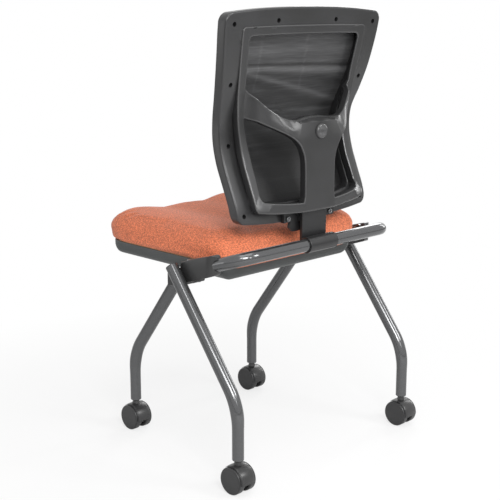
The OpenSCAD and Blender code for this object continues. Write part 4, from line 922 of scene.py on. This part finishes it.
class CHAIR_OT_back(bpy.types.Operator):
    """Moulds the back: the bowed frame, the proud brace of ring, arms, hub and stem, and the hub's cap"""
    bl_idname = "chair.back"
    bl_label = "Back frame and brace"

    def execute(self, context):
        outer = back_outline(WIDTH, 0, FRAME_LOW, FRAME_TOP, 20, 9, 9)
        inner = back_outline(WIDTH, RAIL_W, FRAME_LOW + LOW_RAIL_W, FRAME_TOP - RAIL_W, 14, 4.5, 9)
        grid = loop_grid(outer, inner, FRAME_SECTION, lambda x, z, level: back_y(z) + level)
        holes, screws = [], []
        for s, w in SUNK_SCREWS:
            z = BACK_Z + BACK_H * s
            slope = math.atan2(float(back_y(z + 4) - back_y(z - 4)), 8)
            for side in (-1, 1):
                at = (side * BACK_X * float(smooth_curve(WIDTH, s)) * w, float(back_y(z)), z)
                normal = (math.cos(slope), -math.sin(slope))
                holes.append((at, normal))
                part = closed_part(lathe_grid(SUNK_PROFILE, (0, 0, 0), "y", 24))
                turned = part[0] @ np.array([[1, 0, 0], [0, normal[0], normal[1]], [0, -normal[1], normal[0]]])
                screws.append((turned + np.array(at), part[1]))
        body = mesh_object("back_frame_moulding", [closed_part(grid, True)], RAIL_CREASE)
        drill(body, holes, HOLE_R, HOLE_DEPTH, RAIL_CREASE)
        # black: painted shade down the screw holes' walls, and the mesh's edging round the frame's front 4 mm
        # and on the opening's wall
        x, y, z = centres(body).T
        deep = back_y(np.clip(z, BACK_Z, BACK_Z + BACK_H)) - y
        inside = np.abs(x) < half_width(WIDTH, z) - 30
        black = (deep > 18) | (deep > 3) & inside & (z > FRAME_LOW + 25) & (z < FRAME_TOP - 30)
        # painted shade: the walls of each screw hole painted black
        for at, _ in holes:
            black |= (np.hypot(x - at[0], z - at[2]) < HOLE_R + 0.3) & (deep > 0.3) & (deep < 12)
        place(body, "frame", "charcoal_plastic", "charcoal black", "back_frame", kinds=black)
        place(mesh_object("sunk_screws", screws), "frame", "black_steel", "black_steel", "frame_screws")
        part, kinds, creased = brace_part()
        brace = mesh_object("back_brace_moulding", [part], 24)
        for e in brace.data.edges:
            if e.vertices[0] in creased and e.vertices[1] in creased:
                e.use_edge_sharp = True
        # the rims painted paler as a painted highlight, and the walls painted black as painted shade
        place(brace, "frame", "charcoal_plastic", "charcoal edge black", "back_brace", kinds=kinds)
        rim = [(11.4 + 4.0 * math.cos(k), 1 + 4.4 * math.sin(k)) for k in np.linspace(0, math.pi / 2, 12)]
        cap = closed_part(lathe_grid(CAP_SHADE_RING + rim + CAP_DISH, (0, HUB_Y, HUB_Z), "y"))
        cap = mesh_object("hub_cap_dome", [cap], 40)
        x, _, z = centres(cap).T
        # the dome glossier and painted paler as a painted highlight, the flat ring round it black as painted
        # shade
        place(cap, "frame", "black_plastic", "edge black", "hub_cap", kinds=np.hypot(x, z - HUB_Z) > CAP_R)
        return {"FINISHED"}


# Folds across the cloth: where each lies at the middle, its slope, its half-width and its depth. The
# same depth paints shade where it is below 0 and highlight where it is above 0 along each fold
FOLDS = ((829, 0.03, 3.5, -1.0), (818, 0.035, 6, 0.8), (804, 0.1, 7, -0.4), (784, 0.235, 5, 0.9),
         (768, 0.235, 9, -0.5), (733, 0.017, 4, 0.5), (700, 0.05, 12, 0.2), (664, 0.0, 3, 0.6))
# The mesh lies this far inside the frame's edge and in front of its rear face
MESH_IN, MESH_FORWARD = 4.5, 22.2


class CHAIR_OT_mesh(bpy.types.Operator):
    """Stretches the woven mesh over the front of the back frame"""
    bl_idname = "chair.mesh"
    bl_label = "Mesh"

    def execute(self, context):
        s = context.scene.chair_back
        edge = back_outline(WIDTH, MESH_IN, FRAME_LOW + MESH_IN, FRAME_TOP - MESH_IN, 17, 9, 9)
        mid = np.array([0.0, 730.0])
        k = np.concatenate([np.linspace(1, 0.12, 60), [0.0]])[:, None, None]
        plan = mid + (edge - mid)[None] * k
        x, z = plan[..., 0], plan[..., 1]
        inside = np.clip((1 - k[..., 0]) * 5, 0, 1)
        fold = sum(np.exp(-((z - at - lean * x) / wide) ** 2) * deep for at, lean, wide, deep in FOLDS)
        # two faint pale lines run down the upper half
        pale_lines = sum(0.5 * np.exp(-((x - at) / 2.2) ** 2) * np.clip((z - 770) / 20, 0, 1) for at in (103, -30))
        # painted shade and painted highlight along the folds, with the two pale lines, kept for the colour
        slack = fold + pale_lines
        y = back_y(z) - MESH_FORWARD + s.fold_depth / MM * fold * inside * np.cos(x / 260) * 0.9
        thick = s.mesh_thickness / MM
        front, rear = np.stack([x, y - thick / 2, z], -1), np.stack([x, y + thick / 2, z], -1)
        m, n = x.shape
        grid = np.concatenate([front[::-1], rear])
        verts = grid.reshape(-1, 3)
        faces = [list(f) for f in quads(2 * m, n, False)]
        obj = mesh_object("back_mesh", [(verts, faces)], 60)
        uv = obj.data.uv_layers.new(name="cloth")
        loops = np.empty(len(obj.data.loops), int)
        obj.data.loops.foreach_get("vertex_index", loops)
        co = verts[loops]
        uv.data.foreach_set("uv", (np.stack([co[:, 0], co[:, 2]], 1) * MM).ravel())
        slack = np.concatenate([slack[::-1], slack]).ravel()
        obj.data.attributes.new("slack", "FLOAT", "POINT").data.foreach_set("value", slack)
        place(obj, "frame", "mesh", "mesh", "mesh_panel")
        return {"FINISHED"}


SEAT_X, SEAT_REAR, SEAT_D, SEAM, SEAT_THICK = 230.0, 114.0, 404.0, 443.0, 58
NOTCH_X, NOTCH_Y, PAN_X, PAN_FRONT, PAN_REAR, PAN_ROUND = 203.65, 29.8, 224.0, -258.0, 100.0, 13
# The pan's floor, the rise and length of its toe, and the depth of its rear dip
PAN_Z, TOE_H, TOE_D, DIP_H = 416, 18, 43, 16
# Tables at even steps: how far the cushion's side is drawn in and how high it is, and the dip across its crown
SIDE_IN = [0.25, 0.1, 0.02, 0, 0.12, 0.42, 0.9, 1.5]
SIDE_UP = [0, 0.12, 0.3, 0.46, 0.64, 0.8, 0.91, 0.975]
DIP = [0.6, 0.66, 0.8, 0.78, 0.5, 0.2, 0, 0.05, 0.2, 0.4, 0.6]


def seat_edge(a, inset, full=1.0):
    """Rounded rectangle in plan: half-sizes times cosine and sine raised to small powers, squarer at the rear
    and softer at the front and along the seam."""
    c, s = np.cos(a), np.sin(a)
    p = 2 / np.where(s < 0, 4.8 + 1.2 * full, 8 + 1.5 * full)
    return (np.sign(c) * np.abs(c) ** p * (SEAT_X - inset),
            SEAT_REAR - SEAT_D / 2 + np.sign(s) * np.abs(s) ** p * (SEAT_D / 2 - inset))


def crown(x, y):
    """Height of the cushion: two thigh ridges with a saddle between, lower at the front and rear ends."""
    u, v = np.clip(np.abs(x) / SEAT_X, 0, 1), (y - SEAT_REAR + SEAT_D / 2) / (SEAT_D / 2)
    return SEAM + SEAT_THICK - 9 * (smooth_curve(DIP, u) + 0.45 * v ** 4)


def seam_at(x, y):
    """Height of the seam: level, but 19 mm lower behind the pan, between its notches."""
    return SEAM - np.where(y > PAN_REAR, 19 * ease((NOTCH_X - np.abs(x)) / 32), 0)


def cushion_part(shrink=0.0):
    """The cushion as rings: up its drawn-in sides by their two tables, then in over the crown."""
    a = np.linspace(0, 2 * math.pi, 180, endpoint=False)
    step = np.linspace(0, 1, 24)
    rings = []
    for k, d, h in zip(step, smooth_curve(SIDE_IN, step) * 16 + shrink, smooth_curve(SIDE_UP, step)):
        x, y = seat_edge(a, d, min(1, k * 7 / 3))
        low = seam_at(x, y) + 0.4
        rings.append(np.stack([x, y, low + (crown(x, y) - shrink - low) * h], 1))
    x0, y0 = seat_edge(a, 24 + shrink)
    mid = SEAT_REAR - SEAT_D / 2
    for k in np.linspace(0.94, 0.02, 18):
        x, y = x0 * k, mid + (y0 - mid) * k
        rings.append(np.stack([x, y, crown(x, y) - shrink], 1))
    under = rings[0]
    for k in (0.97, 0.94, 0.5):
        x, y = under[:, 0] * k, mid + (under[:, 1] - mid) * k
        rings.insert(0, np.stack([x, y, SEAM + 0.4 + 0 * x if k < 0.96 else under[:, 2]], 1))
    return closed_part(np.stack(rings))


def fill_with_foam(obj, swell):
    """Inflates the cushion as cloth: voxel remesh, pressure without gravity, 20 frames, and no point moves
    further than the swell. The result is applied and subdivided once."""
    scene = bpy.context.scene
    for other in bpy.context.selected_objects:
        other.select_set(False)
    bpy.context.view_layer.objects.active = obj
    obj.select_set(True)
    remesh = obj.modifiers.new("remesh", "REMESH")
    remesh.mode, remesh.voxel_size = "VOXEL", 0.006
    bpy.ops.object.modifier_apply(modifier=remesh.name)
    n = len(obj.data.vertices)
    rest = np.empty(n * 3)
    obj.data.vertices.foreach_get("co", rest)
    rest = rest.reshape(-1, 3)
    held = obj.vertex_groups.new(name="seam")
    low = np.flatnonzero(rest[:, 2] < (SEAM + 5) * MM)
    held.add([int(i) for i in low], 1.0, "REPLACE")
    cloth = obj.modifiers.new("cloth", "CLOTH")
    c = cloth.settings
    c.quality, c.mass = 6, 0.3
    c.tension_stiffness, c.compression_stiffness, c.bending_stiffness = 20, 20, 2.0
    c.use_pressure, c.uniform_pressure_force = True, 4.0
    c.vertex_group_mass = "seam"
    c.effector_weights.gravity = 0
    cloth.collision_settings.use_collision = False
    cloth.point_cache.frame_start, cloth.point_cache.frame_end = 1, 20
    for f in range(1, 21):
        scene.frame_set(f)
    shown = obj.evaluated_get(bpy.context.evaluated_depsgraph_get())
    moved = np.empty(n * 3)
    shown.data.vertices.foreach_get("co", moved)
    move = moved.reshape(-1, 3) - rest
    size = np.linalg.norm(move, axis=1)
    move *= np.minimum(1, swell / np.maximum(size, 1e-9))[:, None]
    obj.modifiers.remove(cloth)
    scene.frame_set(1)
    obj.vertex_groups.clear()
    obj.data.vertices.foreach_set("co", (rest + move).ravel())
    obj.data.update()
    sub = obj.modifiers.new("subdivision", "SUBSURF")
    sub.levels = sub.render_levels = 1
    bpy.ops.object.modifier_apply(modifier=sub.name)
    obj.data.polygons.foreach_set("use_smooth", np.ones(len(obj.data.polygons), bool))


def pan_floor(x, y):
    """Underside of the pan: level, rising in a toe at the front and dipping at the rear middle."""
    toe = np.clip((PAN_FRONT + TOE_D - y) / TOE_D, 0, 1)
    return PAN_Z + TOE_H * toe ** 1.4 - DIP_H * ease((y - 22) / 28) * (1 - ease((np.abs(x) - 172) / 36))


class CHAIR_OT_seat(bpy.types.Operator):
    """Makes the seat: a moulded pan and an upholstered cushion filled with foam"""
    bl_idname = "chair.seat"
    bl_label = "Seat"

    def execute(self, context):
        s = context.scene.chair_seat
        outline = rounded([(PAN_X, PAN_FRONT, 58), (PAN_X, NOTCH_Y, 2), (NOTCH_X, NOTCH_Y, 0),
                           (NOTCH_X, PAN_REAR, 20), (-NOTCH_X, PAN_REAR, 20), (-NOTCH_X, NOTCH_Y, 0),
                           (-PAN_X, NOTCH_Y, 2), (-PAN_X, PAN_FRONT, 58)], 14)
        step = np.linspace(0, 1, 300, endpoint=False)
        length = np.linalg.norm(np.roll(outline, -1, 0) - outline, axis=1)
        at = np.concatenate([[0], np.cumsum(length)]) / length.sum()
        closed = np.concatenate([outline, outline[:1]])
        ring = np.stack([np.interp(step, at, closed[:, 0]), np.interp(step, at, closed[:, 1])], 1)
        rows = []
        for d, z in ((2.6, 443), (1.0, 442.9), (0.2, 442.2), (0, 441)):
            p = inset_outline(ring, d)
            rows.append(np.concatenate([p, np.full((len(p), 1), z)], 1))
        for q in np.linspace(0, math.pi / 2, 12):
            p = inset_outline(ring, PAN_ROUND * (1 - math.cos(q)))
            low = pan_floor(p[:, 0], p[:, 1])
            up = low + np.minimum(PAN_ROUND, 440 - low) * (1 - math.sin(q))
            rows.append(np.stack([p[:, 0], p[:, 1], up], 1))
        base = inset_outline(ring, PAN_ROUND)
        for k in np.linspace(0.97, 0.03, 26):
            p = np.stack([base[:, 0] * k, -60 + (base[:, 1] + 60) * k], 1)
            rows.append(np.stack([p[:, 0], p[:, 1], pan_floor(p[:, 0], p[:, 1])], 1))
        pan = mesh_object("seat_pan_moulding", [closed_part(np.stack(rows))], 40)
        place(pan, "seat", "charcoal_plastic", "pan", "seat_pan")
        cushion = mesh_object("seat_cushion_cover", [cushion_part(1.2)], 60)
        fill_with_foam(cushion, s.swell)
        place(cushion, "seat", "orange_fabric", "cloth", "seat_cushion")
        return {"FINISHED"}


class CHAIR_OT_back_bar(bpy.types.Operator):
    """Makes the flat steel back bar with its sleeve and the two ring-headed screws"""
    bl_idname = "chair.back_bar"
    bl_label = "Back bar"

    def execute(self, context):
        strip = rounded([(-37, 462, 1), (37, 462, 1), (37, 604, 4), (-37, 604, 4)])
        sleeve = [(13.4, -42), (16.3, -42), (16.85, -41.4), (16.85, 41.4), (16.3, 42), (13.4, 42)]
        parts = [closed_part(slab_grid(strip, 158.7, 166.6, 0.9, "y")),
                 closed_part(lathe_grid(sleeve, (0, BAR_Y, BAR_Z), "x"), True)]
        place(mesh_object("flat_back_bar", parts), "frame", "black_steel", "black_steel", "back_bar")
        prof = [(2, -9), (2, 0), (5.4, 0), (5.4, 2.4), (4.9, 3), (3.2, 3), (2.7, 2.6), (2.6, 1.0), (0.3, 1.0)]
        head = closed_part(lathe_grid(prof, (64.5, 151.5, 520.5), "y", 32))
        place(mesh_object("ring_headed_screws", [head, mirrored(head)]), "frame", "plain_steel", "steel",
              "carrier_screws")
        return {"FINISHED"}


# A caster's roof, as (place across, height over the wheel's radius): a groove beside each wheel, painted
# black as painted shade from 17.45 mm out, and the bulge; then its neck, and a wheel's outer face and hub
ROOF = [(-20, 0.95), (-17.5, 0.95), (-17.4, 1.3), (-16.8, 1.6), (-14, 2.1), (-10, 2.6), (-5, 3.0), (0, 3.1)]
ROOF += [(-u, v) for u, v in ROOF[-2::-1]]
SHADE_GROOVE_X, HALF_GAP, TREAD_R = 17.45, 7, 3
NECK = [(6, 54), (9.8, 54), (9.5, 57), (8.6, 60.5), (7.6, 63.6), (7.1, 66.8), (6.6, 67.6), (5.6, 67.6)]
WHEEL_FACE = [(24.6, 16), (18, 15.9), (10, 15.8), (0.1, 15.7), (0.1, 14.5), (3, 14.5)]


class CHAIR_OT_casters(bpy.types.Operator):
    """Makes the four casters: hoods with necks, and pairs of wheels with rounded treads"""
    bl_idname = "chair.casters"
    bl_label = "Casters"

    def execute(self, context):
        r = WHEEL_R
        a = np.radians(np.linspace(-6, 126, 44))
        arc = np.stack([np.cos(a), np.sin(a)], 1)
        web = np.concatenate([arc * (r + 2.6), [[-20, -12], [-8, -18], [8, -18], [20, -12]]])
        t = np.radians(np.linspace(-90, 0, 8))
        cos, sin = r - TREAD_R + TREAD_R * np.cos(t), TREAD_R * np.sin(t)
        tread = np.concatenate([np.stack([cos, TREAD_R + sin], 1), np.stack([cos, 13 - sin], 1)[::-1]])
        profile = np.concatenate([[(3, 0)], tread, WHEEL_FACE])
        # the roof is closed by its inner face
        section = ROOF + [(u, 0.9) for u, _ in ROOF[::-1]]
        for c in CASTERS:
            x = (REAR_X if "rear" in c else FRONT_X) * (1 if "left" in c else -1)
            y = LEG_Y if "rear" in c else -LEG_Y
            side = np.stack([np.stack([np.full(len(arc), x + u), *(np.array([y, r]) + arc * (r + v)).T], 1)
                             for u, v in section], 1)
            core = slab_grid(web, x - 6.7, x + 6.7, 0.8, "x", 4) + np.array([0, y, r])
            neck = lathe_grid(NECK, (x, y, 0), "z", 48)
            hood = mesh_object("hood_" + c, [closed_part(side), closed_part(core), closed_part(neck)], 35)
            # faces in the grooves beside the wheels painted black as painted shade
            place(hood, "caster_" + c, "charcoal_plastic", "charcoal black", "caster_hood_" + c,
                  kinds=np.abs(centres(hood)[:, 0] - x) > SHADE_GROOVE_X)
            for tag, sign in (("a", 1), ("b", -1)):
                ring = lathe_grid(profile * (1, sign) + (0, HALF_GAP * sign), (x, y, r), "x", 72)
                wheel = mesh_object(f"wheel_{c}_{tag}", [closed_part(ring, True)])
                place(wheel, "wheels_" + c, "wheel_nylon", "wheel", f"caster_wheel_{c}_{tag}")
        return {"FINISHED"}


def area_light(name, at, aim, size, power):
    """A soft square light at a place, aimed at another, both in metres."""
    lamp = bpy.data.lights.new(name, "AREA")
    lamp.shape, lamp.size, lamp.size_y = "RECTANGLE", size[0], size[1]
    lamp.energy = power
    obj = bpy.data.objects.new(name, lamp)
    bpy.context.scene.collection.objects.link(obj)
    obj.location = at
    d = np.array(aim, float) - np.array(at, float)
    obj.rotation_euler = (math.atan2(math.hypot(d[0], d[1]), -d[2]), 0, math.atan2(d[1], d[0]) - math.pi / 2)


# Lights: place, aim and size in metres, and the power as a share of the side lights' setting, or None for
# the key
LIGHTS = (
    ("key_above", (0.3, 0.5, 2.7), (0, 0, 0.6), (1.6, 1.6), None),
    ("camera_strip", (1.95, 1.6, 2.4), (0, 0, 0.5), (0.4, 1.1), 0.9),
    ("camera_soft", (1.5, 2.4, 2.0), (0, 0, 0.6), (1.0, 1.0), 4.0),
    ("rear_soft", (-0.98, 2.51, 2.08), (0, 0.1, 0.7), (0.95, 0.95), 2.6),
    ("far_strip", (-2.47, -1.32, 1.73), (-0.2, 0.18, 0.47), (1.0, 1.0), 1.6),
    ("side_soft", (2.3, -1.9, 0.55), (0.2, 0, 0.7), (1.2, 0.9), 0.35),
    ("rear_strip", (0.5, 2.8, 1.5), (0, 0, 0.65), (0.35, 0.9), 0.5),
    ("edge_right", (-2.8, 0.1, 1.3), (0, 0, 0.65), (0.4, 1.5), 1.0),
)
# The camera as solved from the photo: place in metres, lens in mm, and degrees down and round
CAMERA_AT, CAMERA_LENS, CAMERA_DOWN, CAMERA_ROUND = (1.7025, 1.6897, 0.9645), 80.196, 12.778, 44.808


class CHAIR_OT_studio(bpy.types.Operator):
    """Sets the pale floor, the soft lights, the white world and the camera"""
    bl_idname = "chair.studio"
    bl_label = "Studio"

    def execute(self, context):
        s, scene = context.scene.chair_studio, context.scene
        world = bpy.data.worlds.new("studio_white")
        scene.world = world
        world.use_nodes = True
        tree = world.node_tree
        tree.nodes.clear()
        path = add(tree, "LightPath").outputs
        seen = add(tree, "Math", [(0, path["Is Camera Ray"]), (1, path["Is Glossy Ray"])], operation="MAXIMUM")
        clear = add(tree, "Math", [(0, seen.outputs[0]), (1, path["Is Transmission Ray"])], operation="MAXIMUM")
        level = add(tree, "MapRange", [("Value", clear.outputs[0])], To_Min=0.3, To_Max=1.0).outputs["Result"]
        back = add(tree, "Background", [("Strength", level)], Color=(1, 1, 1, 1))
        add(tree, "OutputWorld", [("Surface", back.outputs[0])])
        floor_mat, tree, bsdf = finish("white_studio_floor", "#FFFFFF", 0.9)
        bsdf.inputs["Base Color"].default_value = (*[min(0.9, v) for v in s.backdrop], 1)
        # the floor pales to plain white away from the chair, so that only the chair's shadow is left on it
        at = add(tree, "TexCoord").outputs["Object"]
        far = add(tree, "VectorMath", [(0, at)], operation="LENGTH").outputs["Value"]
        fade = add(tree, "MapRange", [("Value", far)], From_Min=0.45, From_Max=1.1, To_Min=0.72, To_Max=1.0)
        path = add(tree, "LightPath").outputs
        glow = add(tree, "Emission", Color=(1, 1, 1, 1), Strength=1.0)
        pale = add(tree, "Math", [(0, path["Is Camera Ray"]), (1, fade.outputs[0])], operation="MULTIPLY")
        mix = add(tree, "MixShader", [(0, pale.outputs[0]), (1, bsdf.outputs[0]), (2, glow.outputs[0])])
        tree.links.new(mix.outputs[0], tree.nodes["Material Output"].inputs["Surface"])
        k = np.linspace(0, 2 * math.pi, 96, endpoint=False)
        floor = bpy.data.meshes.new("floor")
        floor.from_pydata(np.stack([30 * np.cos(k), 30 * np.sin(k), 0 * k], 1).tolist(), [], [list(range(96))])
        floor_obj = bpy.data.objects.new("floor", floor)
        floor_obj.data.materials.append(floor_mat)
        scene.collection.objects.link(floor_obj)
        for name, at, aim, size, level in LIGHTS:
            area_light(name, at, aim, size, s.key_power if level is None else s.fill_power * level)
        cam = bpy.data.cameras.new("camera")
        cam.lens, cam.sensor_width, cam.clip_end = CAMERA_LENS, 36.0, 100.0
        cam_obj = bpy.data.objects.new("camera", cam)
        scene.collection.objects.link(cam_obj)
        cam_obj.location = CAMERA_AT
        cam_obj.rotation_euler = (math.radians(90 - CAMERA_DOWN), 0, math.radians(180 - CAMERA_ROUND))
        scene.camera = cam_obj
        scene.view_settings.view_transform = "Standard"
        return {"FINISHED"}


class CHAIR_PT_panel(bpy.types.Panel):
    """Lists the chair's settings and its operators"""
    bl_label = "Nesting chair"
    bl_idname = "CHAIR_PT_panel"
    bl_space_type = "VIEW_3D"
    bl_region_type = "UI"
    bl_category = "Chair"

    def draw(self, context):
        for name, kind in SETTINGS:
            box = self.layout.box()
            for key in kind.__annotations__:
                box.prop(getattr(context.scene, name), key)
        for op in OPERATORS:
            self.layout.operator(op.bl_idname)


OPERATORS = (CHAIR_OT_finishes, CHAIR_OT_tubes, CHAIR_OT_housings, CHAIR_OT_back, CHAIR_OT_mesh, CHAIR_OT_seat,
             CHAIR_OT_back_bar, CHAIR_OT_casters, CHAIR_OT_studio)
SETTINGS = (("chair_finish", ChairFinishSettings), ("chair_back", ChairBackSettings),
            ("chair_seat", ChairSeatSettings), ("chair_studio", ChairStudioSettings))


def register():
    for _, group in SETTINGS:
        bpy.utils.register_class(group)
    for name, group in SETTINGS:
        setattr(bpy.types.Scene, name, bpy.props.PointerProperty(type=group))
    for cls in OPERATORS + (CHAIR_PT_panel,):
        bpy.utils.register_class(cls)


def unregister():
    for cls in reversed(OPERATORS + (CHAIR_PT_panel,)):
        bpy.utils.unregister_class(cls)
    for name, group in reversed(SETTINGS):
        delattr(bpy.types.Scene, name)
        bpy.utils.unregister_class(group)


def main():
    """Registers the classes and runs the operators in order."""
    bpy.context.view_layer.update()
    for name in ("Cube", "Light", "Camera"):
        if name in bpy.data.objects:
            bpy.data.objects.remove(bpy.data.objects[name])
    register()
    bpy.ops.chair.finishes()
    bpy.ops.chair.tubes()
    bpy.ops.chair.housings()
    bpy.ops.chair.back()
    bpy.ops.chair.mesh()
    bpy.ops.chair.seat()
    bpy.ops.chair.back_bar()
    bpy.ops.chair.casters()
    bpy.ops.chair.studio()
    bpy.context.view_layer.update()


if __name__ == "__main__":
    main()
